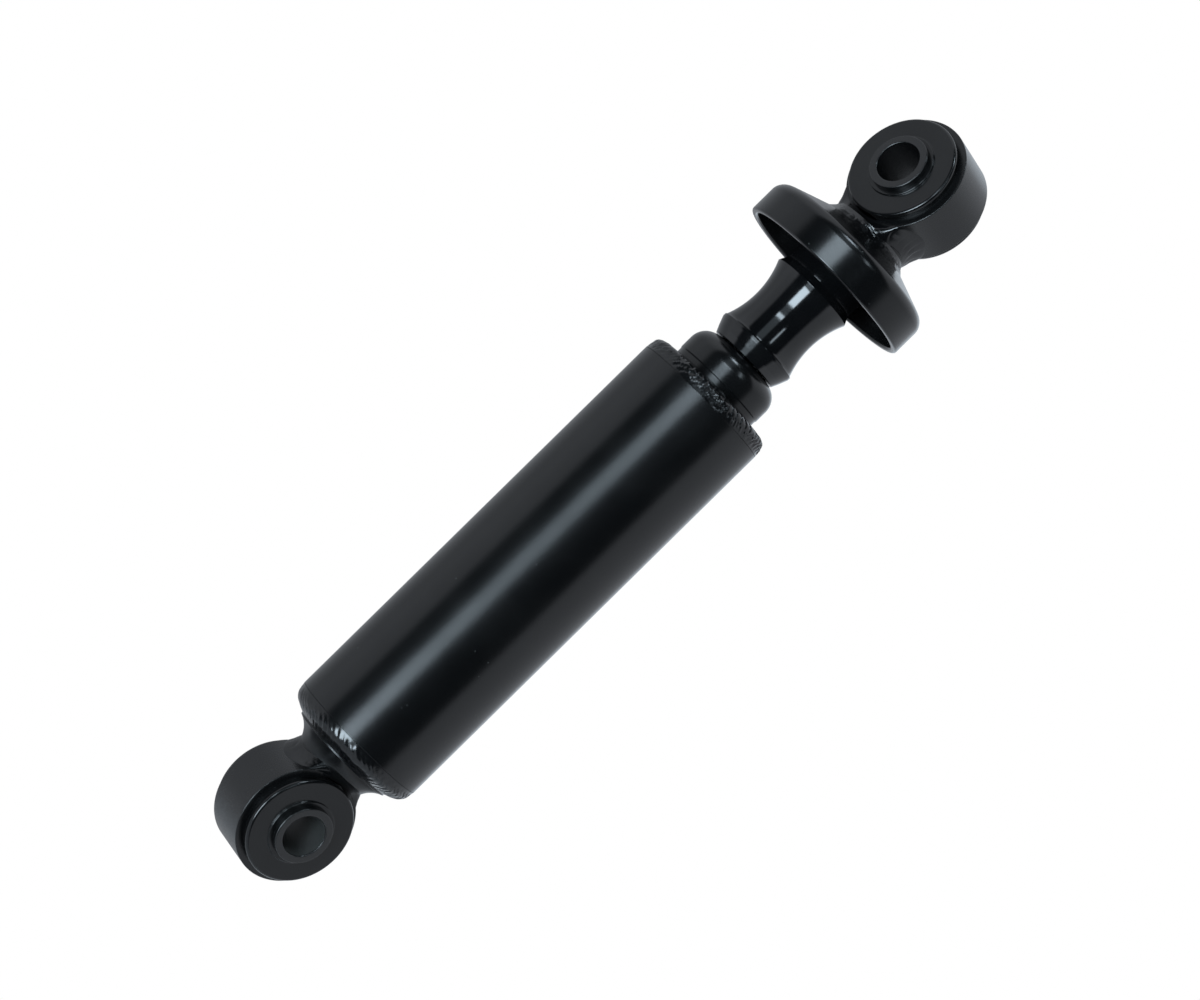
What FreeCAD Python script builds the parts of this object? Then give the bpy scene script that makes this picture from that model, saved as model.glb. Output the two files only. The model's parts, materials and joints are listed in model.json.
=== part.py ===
"""A twin-tube shock absorber with a rubber-bushed eye at each end. All sizes are in millimetres.

The origin is the centre of the lower eye, and +Z runs along the rod to the upper eye. The lower
eye's bore lies along X. The damper stands as it was photographed: pushed in until the bump stop
almost meets the collar, with the rod turned a little, so that the eyes aren't quite square.
"""

import FreeCAD
import Part
import math
import os

# Eyes, rubber bushes and steel sleeves, the same at both ends
EYE_DIAMETER = 58.0
EYE_WALL = 5.0
EYE_WIDTH = 27.0
EYE_EDGE_ROUND = 1.2
SLEEVE_BORE = 20.5
SLEEVE_WALL = 3.75
SLEEVE_LENGTH = 46.0
SLEEVE_CHAMFER = 0.6
BUSH_FLANGE_DIAMETER = 52.0
BUSH_FLANGE_THICKNESS = 3.2
BUSH_FLANGE_ROUND = 1.2
BUSH_SPAN = 38.0
BUSH_NECK_DIAMETER = 49.6
BUSH_RUNNING_GAP = 0.05

# Stub between the lower eye and the base, and the head between the rod and the upper eye
STUB_DIAMETER = 36.8
STUB_HEIGHT = 7.0
STUB_FLARE = 7.6
STUB_FLARE_HEIGHT = 8.0
STUB_FLARE_HOLLOW = 1.2
STUB_WELD_LEG = 3.0
STUB_WELD_HEIGHT = 6.0
HEAD_DIAMETER = 39.6
HEAD_HEIGHT = 11.5
HEAD_CHAMFER = 1.0
HEAD_WELD_LEG = 4.0
HEAD_WELD_HEIGHT = 8.5
SIDE_FILLET = 7.0
SIDE_FILLET_DROP = 5.5
HEAD_SOCKET_DIAMETER = 16.0
HEAD_SOCKET_DEPTH = 10.5
ROD_TURN = 11.0

# Reservoir tube, base cap and the two large weld beads
TUBE_DIAMETER = 70.0
TUBE_WALL = 2.5
TUBE_LENGTH = 215.7
CAP_BOSS_HEIGHT = 10.8
CAP_EDGE_ROUND = 0.2
CAP_FLOOR_THICKNESS = 6.5
CAP_FLOOR_DIAMETER = 28.0
CAP_CONE_RUN = 1.5
CAP_RIM_HEIGHT = 9.0
CAP_RIM_WALL = 3.0
LOWER_BEAD_WIDTH = 8.8
LOWER_BEAD_TOE = 0.1
LOWER_BEAD_CROWN_INSET = 1.2
LOWER_BEAD_CROWN_DROP = 6.1
LOWER_BEAD_ROUND = 6.0
UPPER_BEAD_HEIGHT = 8.5
UPPER_BEAD_CROWN_INSET = 1.4
UPPER_BEAD_CROWN_RISE = 6.6
UPPER_BEAD_ROUND = 3.0

# Closing ring and collar at the rod end of the body
CLOSING_RING_THICKNESS = 6.0
COLLAR_DIAMETER = 48.0
COLLAR_WALL = 2.5
COLLAR_STANDOUT = 26.9
COLLAR_ROLL = 9.2
COLLAR_INNER_ROLL = 4.2
COLLAR_LIP = 0.3

# Pressure tube and base valve
BORE_DIAMETER = 38.0
PRESSURE_TUBE_WALL = 2.0
PRESSURE_TUBE_STANDOUT = 7.0
VALVE_FOOT_DIAMETER = 34.0
VALVE_FOOT_WIDTH = 2.0
VALVE_FLANGE_THICKNESS = 4.3
VALVE_SPIGOT_HEIGHT = 5.0
VALVE_UNDERCUT = 3.0
VALVE_NOTCHES = 6
VALVE_NOTCH_WIDTH = 5.0
VALVE_NOTCH_RISE = 4.5
VALVE_PORTS = 6
VALVE_INNER_PORT_DIAMETER = 3.0
VALVE_INNER_PORT_CIRCLE = 15.0
VALVE_OUTER_PORT_DIAMETER = 3.4
VALVE_OUTER_PORT_CIRCLE = 27.0
VALVE_RIVET_DIAMETER = 5.0
VALVE_RIVET_HEAD_DIAMETER = 9.0
VALVE_RIVET_HEAD_HEIGHT = 1.2
BASE_DISC_DIAMETERS = (21.0, 18.5, 14.0)
BASE_DISC_THICKNESS = 0.4
INTAKE_DISC_DIAMETER = 32.0
INTAKE_DISC_BORE = 20.0
INTAKE_DISC_THICKNESS = 0.5
STAR_SPRING_DIAMETER = 27.0
STAR_SPRING_HEIGHT = 1.6
STAR_SPRING_THICKNESS = 0.4
STAR_SPRING_ARMS = 5
STAR_SPRING_ARM_WIDTH = 4.0

# Piston rod and piston
ROD_DIAMETER = 18.0
ROD_SPIGOT_DIAMETER = 12.0
ROD_CHAMFER = 1.0
CRUSH_RESERVE = 19.0
ROD_TIP = 1.0
NUT_ACROSS_FLATS = 19.0
NUT_HEIGHT = 8.0
VALVE_WASHER_DIAMETER = 17.0
VALVE_WASHER_THICKNESS = 1.5
PISTON_CLEARANCE = 0.4
PISTON_HEIGHT = 16.0
PISTON_SEAT_DEPTH = 1.5
PISTON_SEAT_WIDTH = 2.0
PISTON_PORTS = 6
PISTON_PORT_DIAMETER = 3.2
PISTON_PORT_CIRCLE = 24.5
PISTON_DISC_DIAMETERS = (32.0, 28.0, 23.0)
PISTON_DISC_THICKNESS = 0.5
BAND_WIDTH = 9.0
BAND_THICKNESS = 1.5
BAND_BORE_GAP = 0.03
BAND_GROOVE_GAP = 0.05
BACKING_WASHER_DIAMETER = 22.0
BACKING_WASHER_THICKNESS = 2.3
REBOUND_STOP_GAP = 2.0
REBOUND_STOP_DIAMETER = 28.0
REBOUND_STOP_HEIGHT = 4.0
REBOUND_BUMPER_DIAMETER = 31.0
REBOUND_BUMPER_HEIGHT = 7.0
REBOUND_BUMPER_ROUND = 2.0

# Rod guide and seals
GUIDE_SPIGOT_LENGTH = 10.0
GUIDE_FLANGE_HEIGHT = 10.0
GUIDE_CAVITY_DIAMETER = 26.0
GUIDE_CAVITY_DEPTH = 10.0
GUIDE_CHAMFER = 1.0
GUIDE_BUSH_WALL = 1.2
GUIDE_BUSH_LENGTH = 9.0
GUIDE_BUSH_INSET = 0.5
GUIDE_RETURN_HOLES = 3
GUIDE_RETURN_HOLE_DIAMETER = 2.4
GUIDE_RETURN_HOLE_RISE = 2.5
ROD_RUNNING_GAP = 0.03
O_RING_SECTION = 2.5
SEAL_THICKNESS = 3.0
SEAL_LIP_WALL = 2.2
SEAL_LIP_DEPTH = 6.0
SEAL_DUST_LIP_HEIGHT = 2.6
SEAL_RELIEF = 0.8
GARTER_SECTION = 1.6
RETAINER_BORE = 25.0

# Bump stop and cup
BUMP_STOP_GAP = 0.4
BUMP_STOP_LENGTH = 69.7
BUMP_FOOT_DIAMETER = 35.2
BUMP_FOOT_EDGE_DIAMETER = 38.2
BUMP_FOOT_EDGE_RISE = 3.3
BUMP_CREST_DIAMETER = 41.5
BUMP_CREST_RISE = 7.6
BUMP_CREST_WIDTH = 1.3
BUMP_GROOVE_DEPTH = 0.6
BUMP_WAIST_DIAMETER = 34.7
BUMP_WAIST_RISE = 24.7
BUMP_SHOULDER_DIAMETER = 40.8
BUMP_SHOULDER_RISE = 41.3
BUMP_HEAD_DIAMETER = 48.0
BUMP_HEAD_RISE = 54.0
CUP_DIAMETER = 92.0
CUP_WALL = 3.5
CUP_CROWN_RISE = 8.1
CUP_CROWN_FALL = 10.0
CUP_DEPTH = 27.3
CUP_CORNER_ROUND = 6.0
CUP_RIM_ROUND = 1.2
CUP_WELD_LEG = 4.5
CUP_WELD_HEIGHT = 3.4

# Radii worked out from the diameters
eye_radius = EYE_DIAMETER / 2
eye_bore_radius = eye_radius - EYE_WALL
sleeve_radius = SLEEVE_BORE / 2 + SLEEVE_WALL
stub_radius = STUB_DIAMETER / 2
head_radius = HEAD_DIAMETER / 2
tube_radius = TUBE_DIAMETER / 2
tube_inner_radius = tube_radius - TUBE_WALL
boss_radius = tube_radius - LOWER_BEAD_WIDTH
collar_radius = COLLAR_DIAMETER / 2
collar_inner_radius = collar_radius - COLLAR_WALL
bore_radius = BORE_DIAMETER / 2
pressure_tube_radius = bore_radius + PRESSURE_TUBE_WALL
rod_radius = ROD_DIAMETER / 2
rod_spigot_radius = ROD_SPIGOT_DIAMETER / 2
socket_radius = HEAD_SOCKET_DIAMETER / 2
guide_bore_radius = rod_radius + ROD_RUNNING_GAP + GUIDE_BUSH_WALL
piston_radius = bore_radius - PISTON_CLEARANCE
band_radius = bore_radius - BAND_BORE_GAP
groove_radius = band_radius - BAND_THICKNESS - BAND_GROOVE_GAP

# Heights of the body's pieces, from the lower eye upwards
cap_bottom = eye_radius + STUB_HEIGHT
tube_bottom = cap_bottom + CAP_BOSS_HEIGHT
cap_floor = cap_bottom + CAP_FLOOR_THICKNESS
valve_foot = cap_floor + (VALVE_FOOT_DIAMETER - CAP_FLOOR_DIAMETER) / 2 / CAP_CONE_RUN
valve_seat_top = cap_floor + (pressure_tube_radius - CAP_FLOOR_DIAMETER / 2) / CAP_CONE_RUN
valve_flange_top = valve_seat_top + VALVE_FLANGE_THICKNESS
valve_underside = valve_foot + VALVE_UNDERCUT
valve_top = valve_flange_top + VALVE_SPIGOT_HEIGHT
star_spring_top = valve_top + INTAKE_DISC_THICKNESS + STAR_SPRING_HEIGHT
base_valve_top = star_spring_top + VALVE_RIVET_HEAD_HEIGHT
tube_top = tube_bottom + TUBE_LENGTH
closing_ring_bottom = tube_top - CLOSING_RING_THICKNESS
collar_top = tube_top + COLLAR_STANDOUT
pressure_tube_top = tube_top + PRESSURE_TUBE_STANDOUT
guide_bottom = pressure_tube_top - GUIDE_SPIGOT_LENGTH
guide_top = pressure_tube_top + GUIDE_FLANGE_HEIGHT
seal_top = guide_top + SEAL_THICKNESS

# Heights of the rod's pieces, with the bump stop standing just clear of the collar
rod_bottom = base_valve_top + CRUSH_RESERVE
nut_bottom = rod_bottom + ROD_TIP
washer_bottom = nut_bottom + NUT_HEIGHT
disc_stack_height = PISTON_DISC_THICKNESS * len(PISTON_DISC_DIAMETERS)
piston_bottom = washer_bottom + VALVE_WASHER_THICKNESS + disc_stack_height
piston_top = piston_bottom + PISTON_HEIGHT
backing_bottom = piston_top + disc_stack_height
rod_shoulder = backing_bottom + BACKING_WASHER_THICKNESS
rebound_stop_bottom = rod_shoulder + REBOUND_STOP_GAP
rebound_bumper_bottom = rebound_stop_bottom + REBOUND_STOP_HEIGHT
rebound_bumper_top = rebound_bumper_bottom + REBOUND_BUMPER_HEIGHT
rebound_travel = guide_bottom - rebound_bumper_top
band_middle = (piston_bottom + piston_top) / 2
bump_bottom = collar_top + BUMP_STOP_GAP
head_bottom = bump_bottom + BUMP_STOP_LENGTH
head_length = HEAD_HEIGHT + eye_radius
upper_eye = head_bottom + head_length

UP = FreeCAD.Vector(0, 0, 1)
ALONG_X = FreeCAD.Vector(1, 0, 0)
ALONG_Y = FreeCAD.Vector(0, 1, 0)
ORIGIN = FreeCAD.Vector(0, 0, 0)


class Outline:
    """Half of a turned piece's section, drawn in radius and height with lines and arcs."""

    def __init__(self, radius, height):
        self.here = FreeCAD.Vector(radius, 0, height)
        self.edges = []

    def line(self, radius, height):
        """Draw a straight line to a point."""
        there = FreeCAD.Vector(radius, 0, height)
        if there.distanceToPoint(self.here) > 1e-6:
            self.edges.append(Part.LineSegment(self.here, there).toShape())
            self.here = there
        return self

    def arc(self, via_radius, via_height, radius, height):
        """Draw an arc through one point to another."""
        via = FreeCAD.Vector(via_radius, 0, via_height)
        there = FreeCAD.Vector(radius, 0, height)
        self.edges.append(Part.Arc(self.here, via, there).toShape())
        self.here = there
        return self

    def solid(self):
        """Turn the outline about the Z axis."""
        start = self.edges[0].firstVertex(True).Point
        self.line(start.x, start.z)
        turned_solid = Part.Face(Part.Wire(self.edges)).revolve(ORIGIN, UP, 360)
        if turned_solid.Volume < 0:
            turned_solid.reverse()
        return turned_solid


def turned(*corners):
    """Turn a polygon of (radius, height) corners, where a third number rounds the corner."""
    points = [FreeCAD.Vector(corner[0], 0, corner[1]) for corner in corners]
    drawing = None
    for index, corner in enumerate(corners):
        here = points[index]
        if len(corner) == 2:
            drawing = drawing.line(here.x, here.z) if drawing else Outline(here.x, here.z)
            continue
        back = (points[index - 1] - here).normalize()
        ahead = (points[(index + 1) % len(points)] - here).normalize()
        half_angle = back.getAngle(ahead) / 2
        first = here + back * (corner[2] / math.tan(half_angle))
        last = here + ahead * (corner[2] / math.tan(half_angle))
        inward = (back + ahead).normalize()
        middle = here + inward * (corner[2] / math.sin(half_angle) - corner[2])
        drawing = drawing.line(first.x, first.z) if drawing else Outline(first.x, first.z)
        drawing.arc(middle.x, middle.z, last.x, last.z)
    return drawing.solid()


def ring(inner_radius, outer_radius, bottom, top):
    """Make a plain ring, or a disc where the inner radius is 0."""
    return turned((inner_radius, bottom), (outer_radius, bottom), (outer_radius, top), (inner_radius, top))


def torus(ring_radius, section, height):
    """Make a ring of round section about the Z axis."""
    return Part.makeTorus(ring_radius, section / 2, FreeCAD.Vector(0, 0, height), UP)


def rod_along(axis, radius, start, length):
    """Make a cylinder along a row axis, starting some way along it."""
    return Part.makeCylinder(radius, length, axis * start, axis)


def around(count, shape, offset_turn=0.0):
    """Repeat a shape evenly about the Z axis."""
    copies = []
    for index in range(count):
        copy = shape.copy()
        copy.rotate(ORIGIN, UP, offset_turn + index * 360 / count)
        copies.append(copy)
    return copies


def drilled(solid, count, radius, circle_radius, bottom, top, offset_turn=0.0):
    """Drill a circle of upright holes."""
    place = FreeCAD.Vector(circle_radius, 0, bottom)
    hole = Part.makeCylinder(radius, top - bottom, place, UP)
    return solid.cut(around(count, hole, offset_turn))


def to_lower_eye(shape):
    """Lay a piece turned about Z along the lower eye's bore."""
    placed = shape.copy()
    placed.rotate(ORIGIN, ALONG_Y, 90)
    return placed


def to_upper_eye(shape):
    """Lay a piece turned about Z along the upper eye's bore."""
    placed = shape.copy()
    placed.rotate(ORIGIN, ALONG_X, 90)
    placed.rotate(ORIGIN, UP, ROD_TURN)
    placed.translate(UP * upper_eye)
    return placed


def stub_to_upper_eye(shape):
    """Turn a piece drawn above the lower eye over, so that it hangs from the upper eye."""
    placed = shape.copy()
    placed.rotate(ORIGIN, ALONG_X, 180)
    placed.rotate(ORIGIN, UP, 90 + ROD_TURN)
    placed.translate(UP * upper_eye)
    return placed


def eye_ring():
    """Steel ring round a bush, turned about Z and centred on the origin."""
    half = EYE_WIDTH / 2
    return turned(
        (eye_bore_radius, -half),
        (eye_radius, -half, EYE_EDGE_ROUND),
        (eye_radius, half, EYE_EDGE_ROUND),
        (eye_bore_radius, half),
    )


def bush():
    """Moulded rubber bush with a round flange on each side of its ring."""
    inner = sleeve_radius + BUSH_RUNNING_GAP
    flange = BUSH_FLANGE_DIAMETER / 2
    neck = BUSH_NECK_DIAMETER / 2
    ring_face = EYE_WIDTH / 2
    face = BUSH_SPAN / 2
    flange_back = face - BUSH_FLANGE_THICKNESS
    return turned(
        (inner, -face),
        (flange, -face, BUSH_FLANGE_ROUND),
        (flange, -flange_back, BUSH_FLANGE_ROUND),
        (neck, -flange_back),
        (neck, -ring_face),
        (eye_bore_radius, -ring_face),
        (eye_bore_radius, ring_face),
        (neck, ring_face),
        (neck, flange_back),
        (flange, flange_back, BUSH_FLANGE_ROUND),
        (flange, face, BUSH_FLANGE_ROUND),
        (inner, face),
    )


def sleeve():
    """Steel sleeve for the mounting bolt, with a chamfer at each mouth and outer edge."""
    half = SLEEVE_LENGTH / 2
    bore = SLEEVE_BORE / 2
    tube = ring(bore, sleeve_radius, -half, half)
    return tube.makeChamfer(SLEEVE_CHAMFER, [edge for edge in tube.Edges if edge.Closed and len(edge.Vertexes) == 1])


def fitted_to_ring(shape, side_gap):
    """Cut a piece to sit on the eye ring, with hollow shoulders beside the ring's faces."""
    reach = EYE_DIAMETER
    saddle = rod_along(ALONG_X, eye_radius, -reach, 2 * reach)
    cutters = [saddle]
    for side in (-1, 1):
        middle = FreeCAD.Vector(side * (EYE_WIDTH / 2 + side_gap + SIDE_FILLET), -reach, 0)
        hollow = Part.makeCylinder(SIDE_FILLET, 2 * reach, middle + UP * (eye_radius - SIDE_FILLET_DROP), ALONG_Y)
        corner = FreeCAD.Vector(middle.x - SIDE_FILLET if side > 0 else middle.x - reach, -reach, 0)
        slab = Part.makeBox(SIDE_FILLET + reach, 2 * reach, eye_radius - SIDE_FILLET_DROP, corner)
        cutters += [hollow, slab]
    return shape.cut(cutters)


def stub():
    """Short stub that joins the lower eye to the base cap, with a flare under the cap."""
    drawing = Outline(0, 0).line(stub_radius, 0).line(stub_radius, cap_bottom - STUB_FLARE_HEIGHT)
    chord = math.hypot(STUB_FLARE, STUB_FLARE_HEIGHT)
    via_radius = stub_radius + STUB_FLARE / 2 - STUB_FLARE_HOLLOW * STUB_FLARE_HEIGHT / chord
    via_height = cap_bottom - STUB_FLARE_HEIGHT / 2 + STUB_FLARE_HOLLOW * STUB_FLARE / chord
    drawing.arc(via_radius, via_height, stub_radius + STUB_FLARE, cap_bottom)
    drawing.line(0, cap_bottom)
    return fitted_to_ring(drawing.solid(), 0)


def head_blank():
    """Round head that carries the upper eye, drawn above the lower eye before it is turned over."""
    drawing = Outline(0, 0).line(head_radius, 0).line(head_radius, head_length - HEAD_CHAMFER)
    drawing.line(head_radius - HEAD_CHAMFER, head_length).line(0, head_length)
    return fitted_to_ring(drawing.solid(), 0)


def rod_head():
    """The head with the blind socket that takes the rod's upper end."""
    socket = ring(0, socket_radius, head_bottom, head_bottom + HEAD_SOCKET_DEPTH)
    return stub_to_upper_eye(head_blank()).cut(socket)


def eye_weld(radius, leg, height, core):
    """Weld that runs round the foot of a stub where it sits on its eye ring."""
    foot = math.sqrt(eye_radius ** 2 - (radius + leg) ** 2)
    inside = radius - leg
    drawing = Outline(inside, foot).line(radius + leg, foot)
    drawing.arc(radius + leg * 0.35, foot + height * 0.55, radius, foot + height * 1.5)
    drawing.line(inside, foot + height * 1.5)
    return fitted_to_ring(drawing.solid(), 0).cut(core)


def base_cap():
    """Forged cap that closes the reservoir tube and holds the base valve on its inner cone."""
    rim_inner = tube_inner_radius - CAP_RIM_WALL
    floor_radius = CAP_FLOOR_DIAMETER / 2
    cone_top = cap_floor + (rim_inner - floor_radius) / CAP_CONE_RUN
    rim_top = tube_bottom + CAP_RIM_HEIGHT
    return turned(
        (0, cap_bottom),
        (boss_radius, cap_bottom, CAP_EDGE_ROUND),
        (boss_radius, tube_bottom),
        (tube_inner_radius, tube_bottom),
        (tube_inner_radius, rim_top),
        (rim_inner, rim_top),
        (rim_inner, cone_top),
        (floor_radius, cap_floor),
        (0, cap_floor),
    )


def lower_weld_bead():
    """Broad weld that fills the corner between the base cap and the end of the reservoir tube."""
    crown = (tube_radius - LOWER_BEAD_CROWN_INSET, tube_bottom - LOWER_BEAD_CROWN_DROP, LOWER_BEAD_ROUND)
    return turned(
        (boss_radius, cap_bottom + LOWER_BEAD_TOE + CAP_EDGE_ROUND),
        crown,
        (tube_radius, tube_bottom),
        (boss_radius, tube_bottom),
    )


def reservoir_tube():
    """Outer tube of the damper."""
    return ring(tube_inner_radius, tube_radius, tube_bottom, tube_top)


def closing_ring():
    """Flat ring that closes the reservoir round the collar."""
    return ring(collar_radius, tube_inner_radius, closing_ring_bottom, tube_top)


def upper_weld_bead():
    """Broad weld over the closing ring, from the reservoir tube's edge up to the collar."""
    crown = (tube_radius - UPPER_BEAD_CROWN_INSET, tube_top + UPPER_BEAD_CROWN_RISE, UPPER_BEAD_ROUND)
    return turned(
        (collar_radius, tube_top),
        (tube_radius, tube_top),
        crown,
        (collar_radius, tube_top + UPPER_BEAD_HEIGHT),
    )


def collar():
    """Neck tube round the rod guide, with its end rolled in over the seal retainer."""
    mouth = collar_radius - COLLAR_ROLL - COLLAR_LIP
    return turned(
        (collar_inner_radius, closing_ring_bottom),
        (collar_radius, closing_ring_bottom),
        (collar_radius, collar_top, COLLAR_ROLL),
        (mouth, collar_top),
        (mouth, collar_top - COLLAR_WALL),
        (collar_inner_radius, collar_top - COLLAR_WALL, COLLAR_INNER_ROLL),
    )


def pressure_tube():
    """Inner tube that the piston runs in."""
    return ring(bore_radius, pressure_tube_radius, valve_flange_top, pressure_tube_top)


def base_valve_body():
    """Valve body between the pressure tube and the cap's cone, with oil notches and ports."""
    foot_outer = VALVE_FOOT_DIAMETER / 2
    foot_inner = foot_outer - VALVE_FOOT_WIDTH
    rivet = VALVE_RIVET_DIAMETER / 2
    body = turned(
        (rivet, valve_underside),
        (foot_inner, valve_underside),
        (foot_inner, valve_foot),
        (foot_outer, valve_foot),
        (pressure_tube_radius, valve_seat_top),
        (pressure_tube_radius, valve_flange_top),
        (bore_radius, valve_flange_top),
        (bore_radius, valve_top),
        (rivet, valve_top),
    )
    corner = FreeCAD.Vector(foot_inner - VALVE_FOOT_WIDTH, -VALVE_NOTCH_WIDTH / 2, cap_floor)
    notch_length = pressure_tube_radius - corner.x + VALVE_FOOT_WIDTH
    notch = Part.makeBox(notch_length, VALVE_NOTCH_WIDTH, VALVE_NOTCH_RISE + valve_foot - cap_floor, corner)
    body = body.cut(around(VALVE_NOTCHES, notch))
    body = drilled(
        body, VALVE_PORTS, VALVE_INNER_PORT_DIAMETER / 2, VALVE_INNER_PORT_CIRCLE / 2, cap_floor, valve_top + 1
    )
    half_step = 180 / VALVE_PORTS
    return drilled(
        body, VALVE_PORTS, VALVE_OUTER_PORT_DIAMETER / 2, VALVE_OUTER_PORT_CIRCLE / 2, cap_floor, valve_top + 1,
        half_step,
    )


def disc_stack(diameters, bore_radius_of_disc, thickness, start, direction):
    """Stack thin valve discs from a seat, the largest first."""
    discs = []
    for index, diameter in enumerate(diameters):
        near = start + direction * index * thickness
        far = near + direction * thickness
        discs.append(ring(bore_radius_of_disc, diameter / 2, min(near, far), max(near, far)))
    return discs


def base_valve_discs():
    """Discs that cover the base valve's inner ports from below."""
    stack = disc_stack(BASE_DISC_DIAMETERS, VALVE_RIVET_DIAMETER / 2, BASE_DISC_THICKNESS, valve_underside, -1)
    return Part.makeCompound(stack)


def intake_disc():
    """Ring that covers the base valve's outer ports from above."""
    return ring(INTAKE_DISC_BORE / 2, INTAKE_DISC_DIAMETER / 2, valve_top, valve_top + INTAKE_DISC_THICKNESS)


def star_spring():
    """Thin dished spring with arms, which holds the intake disc down."""
    rivet = VALVE_RIVET_DIAMETER / 2
    hub = VALVE_RIVET_HEAD_DIAMETER / 2
    tip = STAR_SPRING_DIAMETER / 2
    low = valve_top + INTAKE_DISC_THICKNESS
    dish = turned(
        (rivet, star_spring_top - STAR_SPRING_THICKNESS),
        (hub, star_spring_top - STAR_SPRING_THICKNESS),
        (tip, low),
        (tip, low + STAR_SPRING_THICKNESS),
        (hub, star_spring_top),
        (rivet, star_spring_top),
    )
    corner = FreeCAD.Vector(0, -STAR_SPRING_ARM_WIDTH / 2, low)
    arm = Part.makeBox(tip + 1, STAR_SPRING_ARM_WIDTH, STAR_SPRING_HEIGHT, corner)
    star = ring(0, hub, low, star_spring_top).fuse(around(STAR_SPRING_ARMS, arm))
    return dish.common(star)


def base_valve_rivet():
    """Rivet that holds the base valve together."""
    shank = VALVE_RIVET_DIAMETER / 2
    flange = VALVE_RIVET_HEAD_DIAMETER / 2
    stack_bottom = valve_underside - BASE_DISC_THICKNESS * len(BASE_DISC_DIAMETERS)
    return turned(
        (0, stack_bottom - VALVE_RIVET_HEAD_HEIGHT),
        (flange, stack_bottom - VALVE_RIVET_HEAD_HEIGHT),
        (flange, stack_bottom),
        (shank, stack_bottom),
        (shank, star_spring_top),
        (flange, star_spring_top),
        (flange, base_valve_top),
        (0, base_valve_top),
    )


def rod_guide():
    """Guide that centres the pressure tube in the collar and carries the rod's bush."""
    cavity = GUIDE_CAVITY_DIAMETER / 2
    cavity_floor = guide_top - GUIDE_CAVITY_DEPTH
    rebate = collar_inner_radius - O_RING_SECTION
    body = turned(
        (guide_bore_radius, guide_bottom),
        (bore_radius - GUIDE_CHAMFER, guide_bottom),
        (bore_radius, guide_bottom + GUIDE_CHAMFER),
        (bore_radius, pressure_tube_top),
        (collar_inner_radius, pressure_tube_top),
        (collar_inner_radius, guide_top - O_RING_SECTION),
        (rebate, guide_top - O_RING_SECTION),
        (rebate, guide_top),
        (cavity, guide_top),
        (cavity, cavity_floor),
        (guide_bore_radius, cavity_floor),
    )
    hole_height = pressure_tube_top + GUIDE_RETURN_HOLE_RISE
    radius = GUIDE_RETURN_HOLE_DIAMETER / 2
    hole = Part.makeCylinder(radius, collar_radius, UP * hole_height, ALONG_X)
    slot_place = FreeCAD.Vector(collar_inner_radius, 0, pressure_tube_top)
    slot = Part.makeCylinder(radius, GUIDE_RETURN_HOLE_RISE, slot_place, UP)
    return body.cut(around(GUIDE_RETURN_HOLES, hole.fuse(slot)))


def guide_bush():
    """Thin bearing bush that the rod runs in."""
    bottom = guide_bottom + GUIDE_BUSH_INSET
    return ring(rod_radius + ROD_RUNNING_GAP, guide_bore_radius, bottom, bottom + GUIDE_BUSH_LENGTH)


def guide_o_ring():
    """O-ring between the guide and the collar, under the seal."""
    return torus(collar_inner_radius - O_RING_SECTION / 2, O_RING_SECTION, guide_top - O_RING_SECTION / 2)


def garter_spring():
    """Coiled ring spring round the seal's lip."""
    return torus(
        rod_radius + SEAL_LIP_WALL + GARTER_SECTION / 2 - SEAL_RELIEF / 2,
        GARTER_SECTION,
        guide_top - SEAL_LIP_DEPTH + GARTER_SECTION,
    )


def rod_seal():
    """Rubber seal with an oil lip in the guide's cavity and a dust lip above."""
    touch = rod_radius + ROD_RUNNING_GAP
    lip_bottom = guide_top - SEAL_LIP_DEPTH
    wall = rod_radius + SEAL_LIP_WALL
    flange_inner = wall + SEAL_RELIEF
    body = turned(
        (touch, lip_bottom),
        (wall, lip_bottom),
        (wall, guide_top - SEAL_RELIEF),
        (flange_inner, guide_top),
        (collar_inner_radius, guide_top),
        (collar_inner_radius, seal_top),
        (flange_inner, seal_top),
        (touch + SEAL_RELIEF, seal_top + SEAL_DUST_LIP_HEIGHT),
        (touch, seal_top + SEAL_DUST_LIP_HEIGHT),
        (touch + SEAL_RELIEF, seal_top),
        (touch + SEAL_RELIEF, guide_top - SEAL_LIP_DEPTH / 2),
        (touch, lip_bottom + GARTER_SECTION),
    )
    return body.cut(garter_spring())


def seal_retainer():
    """Steel ring under the collar's rolled end, which holds the seal down."""
    retainer_top = collar_top - COLLAR_WALL
    return turned(
        (RETAINER_BORE / 2, seal_top),
        (collar_inner_radius, seal_top),
        (collar_inner_radius, retainer_top, min(COLLAR_INNER_ROLL, retainer_top - seal_top - 0.01)),
        (RETAINER_BORE / 2, retainer_top),
    )


def piston_rod():
    """Polished rod with a spigot for the piston at one end and for the head at the other."""
    return turned(
        (0, rod_bottom),
        (rod_spigot_radius - ROD_CHAMFER, rod_bottom),
        (rod_spigot_radius, rod_bottom + ROD_CHAMFER),
        (rod_spigot_radius, rod_shoulder),
        (rod_radius, rod_shoulder),
        (rod_radius, head_bottom),
        (socket_radius, head_bottom),
        (socket_radius, head_bottom + HEAD_SOCKET_DEPTH - ROD_CHAMFER),
        (socket_radius - ROD_CHAMFER, head_bottom + HEAD_SOCKET_DEPTH),
        (0, head_bottom + HEAD_SOCKET_DEPTH),
    )


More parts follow.
